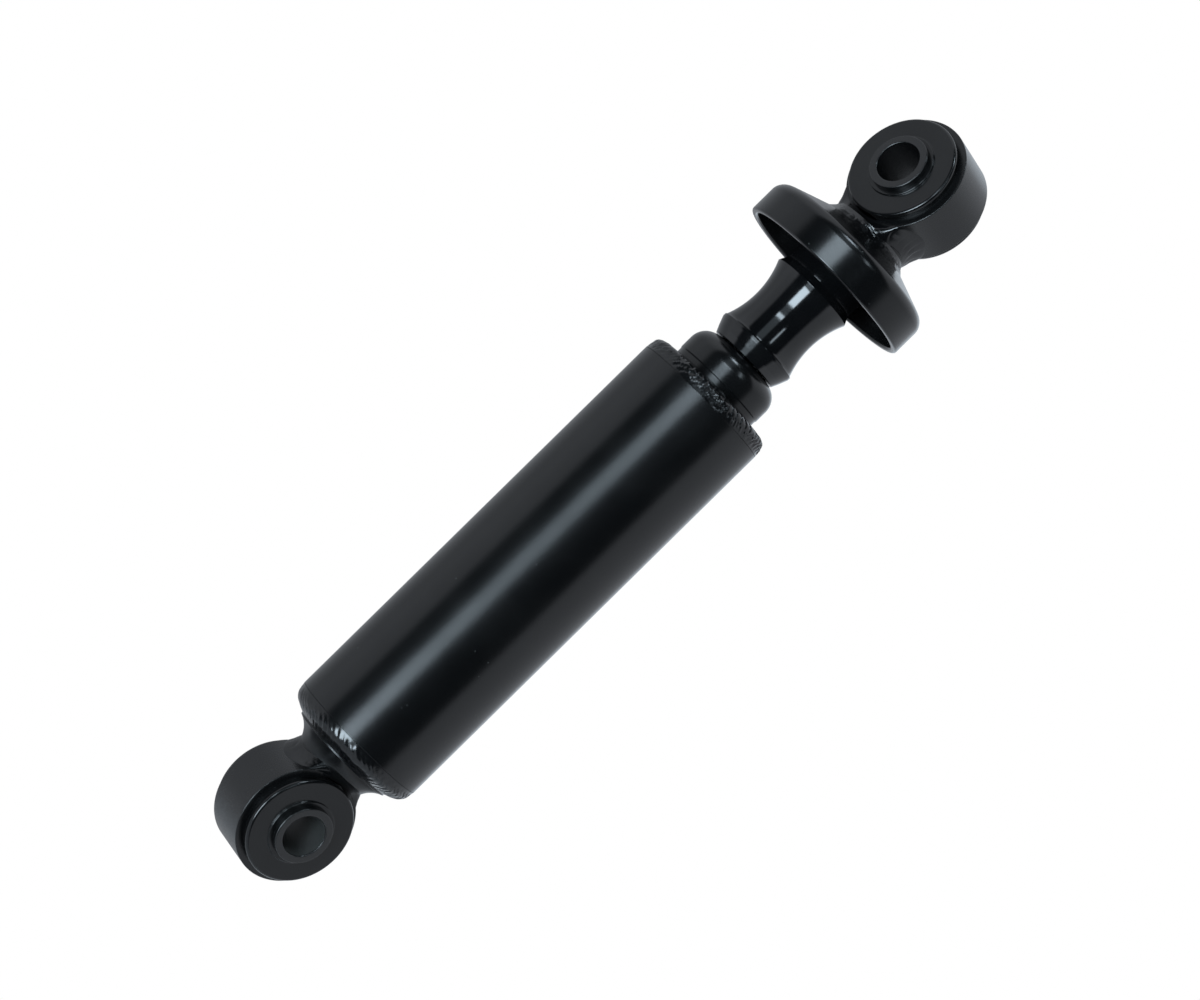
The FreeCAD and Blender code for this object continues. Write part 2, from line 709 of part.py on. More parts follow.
def piston():
    """Piston with a groove for its band, raised disc seats and through ports."""
    seat = PISTON_DISC_DIAMETERS[0] / 2
    groove_half = BAND_WIDTH / 2 + BAND_GROOVE_GAP
    recess = seat - PISTON_SEAT_WIDTH
    hub = VALVE_WASHER_DIAMETER / 2
    low = piston_bottom + PISTON_SEAT_DEPTH
    high = piston_top - PISTON_SEAT_DEPTH
    body = turned(
        (rod_spigot_radius, piston_bottom),
        (hub, piston_bottom),
        (hub, low),
        (recess, low),
        (recess, piston_bottom),
        (seat, piston_bottom),
        (piston_radius, low),
        (piston_radius, band_middle - groove_half),
        (groove_radius, band_middle - groove_half),
        (groove_radius, band_middle + groove_half),
        (piston_radius, band_middle + groove_half),
        (piston_radius, high),
        (seat, piston_top),
        (recess, piston_top),
        (recess, high),
        (hub, high),
        (hub, piston_top),
        (rod_spigot_radius, piston_top),
    )
    return drilled(body, PISTON_PORTS, PISTON_PORT_DIAMETER / 2, PISTON_PORT_CIRCLE / 2, piston_bottom, piston_top)


def piston_band():
    """Slippery band that seals the piston in the pressure tube."""
    inner = groove_radius + BAND_GROOVE_GAP
    return ring(inner, band_radius, band_middle - BAND_WIDTH / 2, band_middle + BAND_WIDTH / 2)


def rebound_discs():
    """Discs under the piston, which bend when the damper is pulled out."""
    stack = disc_stack(PISTON_DISC_DIAMETERS, rod_spigot_radius, PISTON_DISC_THICKNESS, piston_bottom, -1)
    return Part.makeCompound(stack)


def compression_discs():
    """Discs over the piston, which bend when the damper is pushed in."""
    stack = disc_stack(PISTON_DISC_DIAMETERS, rod_spigot_radius, PISTON_DISC_THICKNESS, piston_top, 1)
    return Part.makeCompound(stack)


def valve_washer():
    """Washer between the rebound discs and the nut."""
    return ring(rod_spigot_radius, VALVE_WASHER_DIAMETER / 2, washer_bottom, washer_bottom + VALVE_WASHER_THICKNESS)


def backing_washer():
    """Stiff washer between the compression discs and the rod's shoulder."""
    return ring(rod_spigot_radius, BACKING_WASHER_DIAMETER / 2, backing_bottom, rod_shoulder)


def piston_nut():
    """Hexagon nut on the rod's lower end, with its corners turned off."""
    corner_radius = NUT_ACROSS_FLATS / math.sqrt(3)
    points = []
    for index in range(7):
        turn = math.radians(60 * index)
        points.append(FreeCAD.Vector(corner_radius * math.cos(turn), corner_radius * math.sin(turn), nut_bottom))
    block = Part.Face(Part.makePolygon(points)).extrude(UP * NUT_HEIGHT)
    bevel = corner_radius - NUT_ACROSS_FLATS / 2
    limits = turned(
        (rod_spigot_radius, nut_bottom),
        (corner_radius - bevel, nut_bottom),
        (corner_radius, nut_bottom + bevel / 2),
        (corner_radius, washer_bottom - bevel / 2),
        (corner_radius - bevel, washer_bottom),
        (rod_spigot_radius, washer_bottom),
    )
    return block.common(limits)


def rebound_stop():
    """Steel ring welded to the rod under the rebound bumper."""
    return ring(rod_radius, REBOUND_STOP_DIAMETER / 2, rebound_stop_bottom, rebound_bumper_bottom)


def rebound_bumper():
    """Rubber ring that meets the rod guide at full extension."""
    outer = REBOUND_BUMPER_DIAMETER / 2
    return turned(
        (rod_radius, rebound_bumper_bottom),
        (outer, rebound_bumper_bottom),
        (outer, rebound_bumper_top, REBOUND_BUMPER_ROUND),
        (rod_radius, rebound_bumper_top),
    )


def bump_stop():
    """Hourglass rubber stop on the rod, with its narrow waist between a crest and a broad head."""
    crest = BUMP_CREST_DIAMETER / 2
    crest_start = bump_bottom + BUMP_CREST_RISE
    crest_end = crest_start + BUMP_CREST_WIDTH
    head = BUMP_HEAD_DIAMETER / 2
    drawing = Outline(rod_radius, bump_bottom).line(BUMP_FOOT_DIAMETER / 2, bump_bottom)
    drawing.line(BUMP_FOOT_EDGE_DIAMETER / 2, bump_bottom + BUMP_FOOT_EDGE_RISE)
    drawing.line(crest, crest_start).line(crest, crest_end)
    drawing.line(crest - BUMP_GROOVE_DEPTH, crest_end + BUMP_GROOVE_DEPTH)
    drawing.arc(
        BUMP_WAIST_DIAMETER / 2,
        bump_bottom + BUMP_WAIST_RISE,
        BUMP_SHOULDER_DIAMETER / 2,
        bump_bottom + BUMP_SHOULDER_RISE,
    )
    drawing.line(head, bump_bottom + BUMP_HEAD_RISE).line(head, head_bottom).line(rod_radius, head_bottom)
    return drawing.solid()


def cup_crown_height(radius):
    """Height of the cup's outer crown at a radius."""
    share = (radius - head_radius) / (CUP_DIAMETER / 2 - head_radius)
    return head_bottom + CUP_CROWN_RISE - CUP_CROWN_FALL * share


def cup():
    """Shallow pressed cup over the bump stop, with a sloping crown and a rounded corner."""
    outer = CUP_DIAMETER / 2
    inner = outer - CUP_WALL
    rim = head_bottom + CUP_CROWN_RISE - CUP_DEPTH
    return turned(
        (inner, rim, CUP_RIM_ROUND),
        (outer, rim, CUP_RIM_ROUND),
        (outer, cup_crown_height(outer), CUP_CORNER_ROUND),
        (head_radius, cup_crown_height(head_radius)),
        (head_radius, cup_crown_height(head_radius) - CUP_WALL),
        (inner, cup_crown_height(inner) - CUP_WALL, CUP_CORNER_ROUND - CUP_WALL),
    )


def cup_weld():
    """Hollow weld that joins the cup's crown to the rod head."""
    toe = head_radius + CUP_WELD_LEG
    drawing = Outline(head_radius, cup_crown_height(head_radius)).line(toe, cup_crown_height(toe))
    top = cup_crown_height(head_radius) + CUP_WELD_HEIGHT
    drawing.arc(head_radius + CUP_WELD_LEG * 0.3, top - CUP_WELD_HEIGHT * 0.65, head_radius, top)
    return drawing.solid()


NODES = {
    "lower_eye_ring": lambda: to_lower_eye(eye_ring()),
    "lower_bush_rubber": lambda: to_lower_eye(bush()),
    "lower_sleeve": lambda: to_lower_eye(sleeve()),
    "lower_stub": stub,
    "lower_eye_weld": lambda: eye_weld(stub_radius, STUB_WELD_LEG, STUB_WELD_HEIGHT, stub()),
    "base_cap": base_cap,
    "lower_weld_bead": lower_weld_bead,
    "reservoir_tube": reservoir_tube,
    "closing_ring": closing_ring,
    "upper_weld_bead": upper_weld_bead,
    "collar": collar,
    "pressure_tube": pressure_tube,
    "base_valve_body": base_valve_body,
    "base_valve_discs": base_valve_discs,
    "intake_disc": intake_disc,
    "star_spring": star_spring,
    "base_valve_rivet": base_valve_rivet,
    "rod_guide": rod_guide,
    "guide_bush": guide_bush,
    "guide_o_ring": guide_o_ring,
    "rod_seal": rod_seal,
    "garter_spring": garter_spring,
    "seal_retainer": seal_retainer,
    "piston_band": piston_band,
    "piston_rod": piston_rod,
    "piston": piston,
    "rebound_discs": rebound_discs,
    "compression_discs": compression_discs,
    "valve_washer": valve_washer,
    "backing_washer": backing_washer,
    "piston_nut": piston_nut,
    "rebound_stop": rebound_stop,
    "rebound_bumper": rebound_bumper,
    "bump_stop": bump_stop,
    "cup": cup,
    "cup_weld": cup_weld,
    "rod_head": rod_head,
    "upper_eye_weld": lambda: stub_to_upper_eye(
        eye_weld(head_radius, HEAD_WELD_LEG, HEAD_WELD_HEIGHT, head_blank())
    ),
    "upper_eye_ring": lambda: to_upper_eye(eye_ring()),
    "upper_bush_rubber": lambda: to_upper_eye(bush()),
    "upper_sleeve": lambda: to_upper_eye(sleeve()),
}


def main():
    """Build every piece and write one STEP file for each."""
    os.makedirs("parts", exist_ok=True)
    for name, build in NODES.items():
        shape = build()
        shape.exportStep("parts/" + name + ".step")
        print(name, "solids", len(shape.Solids), "valid", shape.isValid(), "volume", round(shape.Volume, 1))
    print("rebound travel", round(rebound_travel, 2))


main()
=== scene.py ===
"""Looks of a twin-tube shock absorber with a rubber-bushed eye at each end.

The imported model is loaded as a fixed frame. Every piece that shows is modelled again here with
bmesh operators, at the size and place of its node, and dressed with a procedural finish. The
lower eye's centre is the origin, +Z runs along the rod, and every length is in metres.
"""

import json
import logging
import math
from dataclasses import dataclass
from enum import Enum
from functools import partialmethod
from typing import Callable, Optional, Sequence, Union

import bmesh
import bpy
from mathutils import Matrix, Vector, noise


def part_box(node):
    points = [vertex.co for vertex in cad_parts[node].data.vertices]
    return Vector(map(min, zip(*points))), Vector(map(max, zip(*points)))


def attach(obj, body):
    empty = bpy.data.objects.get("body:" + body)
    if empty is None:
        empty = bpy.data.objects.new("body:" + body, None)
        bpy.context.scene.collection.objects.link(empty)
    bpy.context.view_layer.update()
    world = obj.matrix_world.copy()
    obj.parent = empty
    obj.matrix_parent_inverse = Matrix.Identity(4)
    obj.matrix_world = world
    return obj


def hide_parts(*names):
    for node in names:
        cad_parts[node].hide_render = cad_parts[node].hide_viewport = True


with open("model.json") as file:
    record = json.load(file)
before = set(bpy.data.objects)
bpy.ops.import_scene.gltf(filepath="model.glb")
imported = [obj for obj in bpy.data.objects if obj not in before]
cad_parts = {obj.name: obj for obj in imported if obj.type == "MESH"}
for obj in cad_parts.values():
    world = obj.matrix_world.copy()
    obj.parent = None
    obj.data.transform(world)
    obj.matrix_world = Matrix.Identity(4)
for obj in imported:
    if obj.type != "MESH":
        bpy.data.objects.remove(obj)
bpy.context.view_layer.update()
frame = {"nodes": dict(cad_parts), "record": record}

MM = 0.001
WHOLE_TURN = 2 * math.pi
UPPER_TURN = math.radians(11)
MERGE_DISTANCE = 0.0005 * MM
log = logging.getLogger("shock_absorber")

# The colour sockets of a Mix node, which shares their names with its other kinds of value
MIX_FIRST = 6
MIX_SECOND = 7
MIX_RESULT = 2

Colour = tuple[float, float, float]
Point = tuple[float, float]
Mesh = bmesh.types.BMesh
Vert = bmesh.types.BMVert
# A corner of a turned outline: radius, height and, where it is rounded, the radius that rounds it
Corner = tuple[float, ...]
Outline = Sequence[Corner]


class Body(Enum):
    """The bodies that a piece can ride on."""

    DAMPER = "damper_body"
    ROD = "rod"
    LOWER_SLEEVE = "lower_sleeve"
    UPPER_SLEEVE = "upper_sleeve"


class Slot(Enum):
    """The record's material slots of the nodes that the new pieces stand for; nothing reads this list."""

    PAINT = "black_paint"
    WELD = "painted_weld"
    BUSH = "bush_rubber"
    STOP = "bump_rubber"
    CHROME = "polished_rod"


class End(Enum):
    """The end of the part that an eye and its neck are at."""

    LOWER = "lower"
    UPPER = "upper"

    @property
    def carrier(self) -> Body:
        """The body that the eye and its neck ride on."""
        return Body.DAMPER if self is End.LOWER else Body.ROD


def node_size(node: str) -> Vector:
    """Return the lengths of a CAD node's box."""
    low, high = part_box(node)
    return Vector(high) - Vector(low)


def node_bottom(node: str) -> float:
    """Return the height of a CAD node's lowest point."""
    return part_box(node)[0][2]


def node_top(node: str) -> float:
    """Return the height of a CAD node's highest point."""
    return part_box(node)[1][2]


def smooth_share(value: float, start: float, end: float) -> float:
    """Rise smoothly from 0 at the start to 1 at the end."""
    share = min(max((value - start) / (end - start), 0.0), 1.0)
    return share * share * (3 - 2 * share)


def soft_minimum(first: float, second: float, blend: float) -> float:
    """Return the smaller of two lengths, rounded within the blend of where they meet."""
    share = max(blend - abs(first - second), 0.0) / blend
    return min(first, second) - share * share * blend / 4


class Wire:
    """A shader socket that Python's operators join to others with Math nodes."""

    def __init__(self, board: "Board", socket: bpy.types.NodeSocket) -> None:
        """Wrap an output socket of a board's node."""
        self.board = board
        self.socket = socket

    def joined(self, operation: str, *others: "Value") -> "Wire":
        """Put this value and others through one Math node."""
        return self.board.maths(operation, self, *others)

    __add__ = __radd__ = partialmethod(joined, "ADD")
    __sub__ = partialmethod(joined, "SUBTRACT")
    __mul__ = partialmethod(joined, "MULTIPLY")
    __gt__ = partialmethod(joined, "GREATER_THAN")
    __abs__ = partialmethod(joined, "ABSOLUTE")

    def __rsub__(self, other: "Value") -> "Wire":
        """Take this value away from another."""
        return self.board.maths("SUBTRACT", other, self)

    def fade(self, start: float, end: float) -> "Wire":
        """Rise smoothly from 0 at the start to 1 at the end."""
        inputs = {"Value": self, "From Min": start, "From Max": end}
        return self.board.wire("ShaderNodeMapRange", {"interpolation_type": "SMOOTHSTEP"}, inputs)

    def swing(self, width: float) -> "Wire":
        """Turn a share from 0 to 1 into a swing about 0."""
        return (self - 0.5) * width


Value = Union[float, Wire]


class Board:
    """A node tree that finishes and the studio's light are wired up on."""

    def __init__(self, tree: bpy.types.NodeTree) -> None:
        """Take over a node tree and clear it."""
        self.tree = tree
        self.tree.nodes.clear()

    def node(
        self, kind: str, settings: Optional[dict] = None, inputs: Optional[dict] = None
    ) -> bpy.types.Node:
        """Add a node.

        Args:
            kind: The node's type.
            settings: Properties of the node, set first.
            inputs: Values or wires for its sockets, by name or number.

        Returns:
            The new node.
        """
        made = self.tree.nodes.new(kind)
        for name, setting in (settings or {}).items():
            setattr(made, name, setting)
        for key, value in (inputs or {}).items():
            socket = made.inputs[key]
            if isinstance(value, Wire):
                self.tree.links.new(value.socket, socket)
            else:
                socket.default_value = value
        return made

    def wire(
        self, kind: str, settings: Optional[dict] = None, inputs: Optional[dict] = None,
        output: Union[int, str] = 0,
    ) -> Wire:
        """Add a node and return a wire from one of its outputs."""
        return Wire(self, self.node(kind, settings, inputs).outputs[output])

    def maths(self, operation: str, *values: Value) -> Wire:
        """Join values with one Math node."""
        return self.wire("ShaderNodeMath", {"operation": operation}, dict(enumerate(values)))

    def measure(self, operation: str, *vectors: Union[Wire, Vector]) -> Wire:
        """Join vectors with one Vector Math node that gives a number."""
        inputs = dict(enumerate(vectors))
        return self.wire("ShaderNodeVectorMath", {"operation": operation}, inputs, "Value")

    def place(self) -> Wire:
        """Return the point's Object coordinates."""
        return self.wire("ShaderNodeTexCoord", output="Object")

    def along(self, scale: tuple[float, float, float]) -> Wire:
        """Return Object coordinates stretched along the axes."""
        return self.wire("ShaderNodeMapping", inputs={"Vector": self.place(), "Scale": scale})

    def grain(self, scale: float, detail: float, place: Optional[Wire] = None) -> Wire:
        """Return noise with so many features to the metre."""
        inputs = {"Vector": place or self.place(), "Scale": scale, "Detail": detail}
        return self.wire("ShaderNodeTexNoise", {"normalize": True}, inputs)

    def specks(self, scale: float, size: float) -> Wire:
        """Return scattered specks: 1 at a speck's middle and 0 away from it.

        Args:
            scale: Cells to the metre, of which every one holds a speck.
            size: The speck's radius as a share of a cell.

        Returns:
            A wire with the specks.
        """
        inputs = {"Vector": self.place(), "Scale": scale, "Randomness": 1.0}
        distance = self.wire("ShaderNodeTexVoronoi", {"feature": "F1"}, inputs, "Distance")
        return 1 - distance.fade(size * 0.4, size)

    def mix(self, first: Union[Colour, Wire], second: Colour, share: Wire) -> Wire:
        """Mix a colour, or a wire with one, with a second colour."""
        if not isinstance(first, Wire):
            first = (*first, 1.0)
        inputs = {"Factor": share, MIX_FIRST: first, MIX_SECOND: (*second, 1.0)}
        return self.wire("ShaderNodeMix", {"data_type": "RGBA"}, inputs, MIX_RESULT)

    def bump(self, height: Wire, depth: float, below: Optional[Wire] = None) -> Wire:
        """Turn a height from 0 to 1 into a bump.

        Args:
            height: The wire with the height.
            depth: The real depth of a full step.
            below: Another bump that this one lies on.

        Returns:
            A wire with the bent normal.
        """
        inputs = {"Height": height, "Distance": depth, "Strength": 1.0}
        if below:
            inputs["Normal"] = below
        return self.wire("ShaderNodeBump", inputs=inputs)

    def glow(self, kind: str, colour: Colour, strength: Value = 1.0) -> Wire:
        """Add an even light of a colour: a world's background or a surface's emission."""
        return self.wire(kind, inputs={"Color": (*colour, 1.0), "Strength": strength})


@dataclass(frozen=True)
class Finish:
    """Base of every finish: a named material that is made once and then shared."""

    name: str
    metallic = 0.0
    specular = 0.5

    def surface(self, board: Board) -> tuple[Wire, Wire, Wire]:
        """Wire up the finish's colour, roughness and normal."""
        raise NotImplementedError

    def material(self) -> bpy.types.Material:
        """Return the finish's material, made at its first use."""
        title = self.name + "_look"
        known = bpy.data.materials.get(title)
        if known:
            return known
        made = bpy.data.materials.new(title)
        made.use_nodes = True
        board = Board(made.node_tree)
        inputs = dict(zip(("Base Color", "Roughness", "Normal"), self.surface(board)))
        inputs |= {"Metallic": self.metallic, "Specular IOR Level": self.specular}
        shader = board.wire("ShaderNodeBsdfPrincipled", inputs=inputs)
        board.node("ShaderNodeOutputMaterial", inputs={"Surface": shader})
        return made


@dataclass(frozen=True)
class Paint(Finish):
    """Black stoving paint over steel, with orange peel, cloudy gloss and a little dust."""

    colour: Colour = (0.0026, 0.0028, 0.0031)
    cloud_colour: Colour = (0.0042, 0.0044, 0.0046)
    dust_colour: Colour = (0.05, 0.055, 0.052)
    roughness: float = 0.22
    roughness_swing: float = 0.06
    fine_swing: float = 0.05
    peel_scale: float = 520.0
    peel_depth: float = 0.012 * MM
    dust: float = 0.5
    dust_patches: float = 0.56
    dust_depth: float = 0.05 * MM
    specular: float = 0.5

    def surface(self, board: Board) -> tuple[Wire, Wire, Wire]:
        """Wire up the paint."""
        cloud = board.grain(scale=45.0, detail=4.0)
        fine = board.grain(scale=2600.0, detail=3.0)
        peel = board.grain(self.peel_scale, detail=1.5)
        patches = board.grain(scale=60.0, detail=0.0) > self.dust_patches
        dust = board.specks(scale=150.0, size=0.075) * patches * self.dust
        clean = board.mix(self.colour, self.cloud_colour, cloud.fade(0.35, 0.75))
        return (
            board.mix(clean, self.dust_colour, dust),
            self.roughness + cloud.swing(self.roughness_swing) + fine.swing(self.fine_swing),
            board.bump(dust, self.dust_depth, board.bump(peel, self.peel_depth)),
        )


@dataclass(frozen=True)
class WeldPaint(Finish):
    """The same paint over a rippled weld, with lumps and grit under it."""

    colour: Colour = (0.0028, 0.003, 0.0034)
    grit_colour: Colour = (0.005, 0.0053, 0.0056)
    roughness: float = 0.19
    roughness_swing: float = 0.1
    lump_depth: float = 0.03 * MM
    grit_depth: float = 0.003 * MM

    def surface(self, board: Board) -> tuple[Wire, Wire, Wire]:
        """Wire up the painted weld."""
        lumps = board.grain(scale=420.0, detail=4.0)
        grit = board.grain(scale=1700.0, detail=3.0)
        return (
            board.mix(self.colour, self.grit_colour, grit.fade(0.4, 0.8)),
            self.roughness + lumps.swing(self.roughness_swing),
            board.bump(grit, self.grit_depth, board.bump(lumps, self.lump_depth)),
        )


@dataclass(frozen=True)
class Rubber(Finish):
    """Moulded black rubber with fine grain and a faint bloom."""

    colour: Colour = (0.0085, 0.0088, 0.0095)
    bloom: Colour = (0.014, 0.0145, 0.0145)
    roughness: float = 0.36
    roughness_swing: float = 0.1
    fine_swing: float = 0.06
    grain_depth: float = 0.02 * MM
    fine_share: float = 0.3
    specular: float = 0.5

    def surface(self, board: Board) -> tuple[Wire, Wire, Wire]:
        """Wire up the rubber."""
        cloud = board.grain(scale=70.0, detail=4.0)
        fine = board.grain(scale=1500.0, detail=3.0)
        coarse = board.bump(board.grain(scale=330.0, detail=1.0), self.grain_depth)
        return (
            board.mix(self.colour, self.bloom, cloud.fade(0.3, 0.8)),
            self.roughness + cloud.swing(self.roughness_swing) + fine.swing(self.fine_swing),
            board.bump(fine, self.grain_depth * self.fine_share, coarse),
        )


@dataclass(frozen=True)
class Metal(Finish):
    """Bare metal with turning or drawing marks round its axis."""

    colour: Colour = (0.5, 0.5, 0.51)
    dull_colour: Colour = (0.38, 0.38, 0.39)
    roughness: float = 0.3
    roughness_swing: float = 0.12
    mark_swing: float = 0.08
    marks_across: float = 60.0
    marks_along: float = 2400.0
    mark_depth: float = 0.004 * MM
    metallic: float = 1.0

    def surface(self, board: Board) -> tuple[Wire, Wire, Wire]:
        """Wire up the metal."""
        cloud = board.grain(scale=60.0, detail=4.0)
        stretched = board.along((self.marks_across, self.marks_across, self.marks_along))
        marks = board.grain(scale=1.0, detail=3.0, place=stretched)
        return (
            board.mix(self.dull_colour, self.colour, cloud.fade(0.25, 0.6)),
            self.roughness + cloud.swing(self.roughness_swing) + marks.swing(self.mark_swing),
            board.bump(marks, self.mark_depth),
        )


@dataclass(frozen=True)
class Plastic(Finish):
    """Filled low-friction plastic with a speckled grain."""

    colour: Colour = (0.05, 0.16, 0.12)
    filler: Colour = (0.1, 0.22, 0.17)
    roughness: float = 0.5
    roughness_swing: float = 0.1
    grain_depth: float = 0.01 * MM

    def surface(self, board: Board) -> tuple[Wire, Wire, Wire]:
        """Wire up the plastic."""
        grain = board.grain(scale=1800.0, detail=3.0)
        return (
            board.mix(self.colour, self.filler, grain.fade(0.4, 0.7)),
            self.roughness + grain.swing(self.roughness_swing),
            board.bump(grain, self.grain_depth),
        )


TUBE_PAINT = Paint("tube_paint")
SMOOTH_PAINT = Paint(
    "smooth_paint", roughness=0.2, roughness_swing=0.04, peel_depth=0.008 * MM, specular=0.42
)
EYE_PAINT = Paint("eye_paint", roughness=0.27, peel_depth=0.018 * MM)
NECK_PAINT = Paint("neck_paint", roughness=0.36, peel_depth=0.022 * MM, specular=0.42)
SLEEVE_PAINT = Paint("sleeve_paint", roughness=0.26, peel_depth=0.01 * MM, dust=0.2, specular=0.62)
# Painted light: only the lower sleeve's bore takes this lighter grey, which stands for the light falling
# into the bore; the upper bore keeps the sleeve's black paint.
LIT_BORE_PAINT = Paint(
    "lit_bore_paint", colour=(0.03, 0.031, 0.03), cloud_colour=(0.045, 0.046, 0.044), roughness=0.4, dust=0.0
)
WELD_PAINT = WeldPaint("weld_paint")
SMOOTH_WELD_PAINT = WeldPaint("smooth_weld_paint", roughness=0.2, lump_depth=0.02 * MM)
BUSH_RUBBER = Rubber(
    "bush_rubber", colour=(0.003, 0.0031, 0.0034), bloom=(0.0052, 0.0054, 0.0054), roughness=0.17,
    grain_depth=0.009 * MM, specular=0.42,
)
STOP_RUBBER = Rubber(
    "stop_rubber", colour=(0.003, 0.0032, 0.0037), bloom=(0.0045, 0.0048, 0.0052), roughness=0.1,
    grain_depth=0.007 * MM,
)
CHROME = Metal(
    "hard_chrome", colour=(0.64, 0.65, 0.67), dull_colour=(0.58, 0.59, 0.61), roughness=0.09,
    mark_depth=0.0015 * MM,
)

SLOT_FINISHES = {
    "black_paint": SMOOTH_PAINT,
    "painted_weld": WELD_PAINT,
    "bush_rubber": BUSH_RUBBER,
    "bump_rubber": STOP_RUBBER,
    "polished_rod": CHROME,
    "tube_steel": Metal("drawn_steel"),
    "spring_steel": Metal(
        "spring_steel", colour=(0.34, 0.36, 0.42), dull_colour=(0.24, 0.26, 0.34), roughness=0.28
    ),
    "sintered_iron": Metal(
        "sintered_iron", colour=(0.26, 0.26, 0.27), dull_colour=(0.17, 0.17, 0.18), roughness=0.52,
        mark_depth=0.012 * MM,
    ),
    "bearing_bronze": Metal(
        "bearing_bronze", colour=(0.6, 0.42, 0.2), dull_colour=(0.42, 0.28, 0.13), roughness=0.38
    ),
    "seal_rubber": Rubber("seal_rubber", roughness=0.5),
    "band_plastic": Plastic("band_plastic"),
}


@dataclass(frozen=True)
class Ripple:
    """Overlapping crescents that a torch leaves along a weld bead."""

    pitch: float
    depth: float
    seed: float
    lean: float = 1.3
    bow: float = 0.8
    wander: float = 0.7
    front: float = 0.16
    size_swing: float = 0.5
    lump: float = 0.35

    def height(self, travel: float, share: float) -> float:
        """Return how far the bead stands up at a point.

        Args:
            travel: Distance along the bead.
            share: Place across the bead, from 0 at one toe to 1 at the other.

        Returns:
            The height over the valleys between the crescents.
        """
        steps = travel / self.pitch
        wander = noise.noise(Vector((steps * 0.35, share * 1.5, self.seed))) * self.wander
        across = 2 * share - 1
        phase = steps + self.lean * across / 2 + self.bow * across * across + wander
        step = phase % 1.0
        crescent = math.sqrt(max(1.0 - step, 0.0)) * smooth_share(step, 0.0, self.front)
        size = 0.75 + self.size_swing * noise.noise(Vector((math.floor(phase) * 0.7, self.seed, 3.0)))
        lump = self.lump * noise.noise(Vector((steps * 1.3, share * 3.0, self.seed + 7.0)))
        return self.depth * (crescent * size + lump)


def close_ends(mesh: Mesh) -> None:
    """Fill a mesh's open ends."""
    ends = [edge for edge in mesh.edges if edge.is_boundary]
    bmesh.ops.holes_fill(mesh, edges=ends, sides=0)


@dataclass(frozen=True)
class Lathe:
    """Turns outlines about the Z axis, with so many faces round a turn and across a fillet."""

    segments: int = 160
    fillet_segments: int = 5

    def outline(self, corners: Outline) -> Mesh:
        """Draw a closed outline and round its corners.

        Args:
            corners: The corners in order.

        Returns:
            A mesh with the outline's edges.
        """
        mesh = bmesh.new()
        places = [Vector((radius, 0.0, height)) for radius, height, *_ in corners]
        points = [mesh.verts.new(place) for place in places]
        for index, point in enumerate(points):
            mesh.edges.new((point, points[(index + 1) % len(points)]))
        for index, (_, _, *fillet) in enumerate(corners):
            if fillet:
                back = places[index - 1] - places[index]
                ahead = places[(index + 1) % len(places)] - places[index]
                bmesh.ops.bevel(
                    mesh, geom=[points[index]], offset=fillet[0] / math.tan(back.angle(ahead) / 2),
                    offset_type="OFFSET", segments=self.fillet_segments, profile=0.5,
                    affect="VERTICES", material=-1,
                )
        return mesh

    def divide(self, mesh: Mesh, step: float) -> None:
        """Divide an outline's slanted edges, which are a weld's open face, into short ones."""
        for edge in mesh.edges[:]:
            run = edge.verts[1].co - edge.verts[0].co
            cuts = int(run.length / step)
            if cuts and min(abs(run.x), abs(run.z)) > 0.01 * MM:
                bmesh.ops.subdivide_edges(mesh, edges=[edge], cuts=cuts)

    def spin(self, mesh: Mesh, turn: float = WHOLE_TURN, steps: int = 0) -> Mesh:
        """Turn an outline about the Z axis.

        Args:
            mesh: The outline, which becomes the turned mesh.
            turn: The angle to turn through.
            steps: Faces along the turn, or 0 for the lathe's own number.

        Returns:
            The same mesh, merged and with its faces pointing outwards.
        """
        whole = math.isclose(turn, WHOLE_TURN)
        bmesh.ops.spin(
            mesh, geom=mesh.verts[:] + mesh.edges[:], cent=(0, 0, 0), axis=(0, 0, 1), angle=turn,
            steps=steps or self.segments, use_merge=whole,
        )
        if not whole:
            close_ends(mesh)
        bmesh.ops.remove_doubles(mesh, verts=mesh.verts, dist=MERGE_DISTANCE)
        bmesh.ops.dissolve_degenerate(mesh, edges=mesh.edges, dist=MERGE_DISTANCE)
        bmesh.ops.recalc_face_normals(mesh, faces=mesh.faces)
        return mesh

    def turned(self, *corners: Corner) -> Mesh:
        """Turn a closed outline all the way round."""
        return self.spin(self.outline(corners))

    def bead(self, corners: Outline, step: float, rise: Callable[[Vert], float]) -> Mesh:
        """Turn a weld bead all the way round and raise ripples on it.

        Args:
            corners: The bead's outline.
            step: The length of the short edges that its open face is divided into.
            rise: What gives a point's rise along its normal.

        Returns:
            The bead's mesh.
        """
        mesh = self.outline(corners)
        self.divide(mesh, step)
        self.spin(mesh)
        mesh.normal_update()
        moves = [vert.normal * rise(vert) for vert in mesh.verts]
        for vert, move in zip(mesh.verts, moves):
            vert.co += move
        return mesh

    def pipe(self, inner: Corner, outer: Corner, high: float) -> Mesh:
        """Turn a plain pipe from its two lower corners up to a height."""
        tops = [(radius, high, *fillet) for radius, _, *fillet in (outer, inner)]
        return self.turned(inner, outer, *tops)


def add_object(name: str, mesh: Mesh) -> bpy.types.Object:
    """Turn a mesh, which is used up, into an object in the scene."""
    data = bpy.data.meshes.new(name)
    mesh.to_mesh(data)
    mesh.free()
    made = bpy.data.objects.new(name, data)
    bpy.context.scene.collection.objects.link(made)
    return made


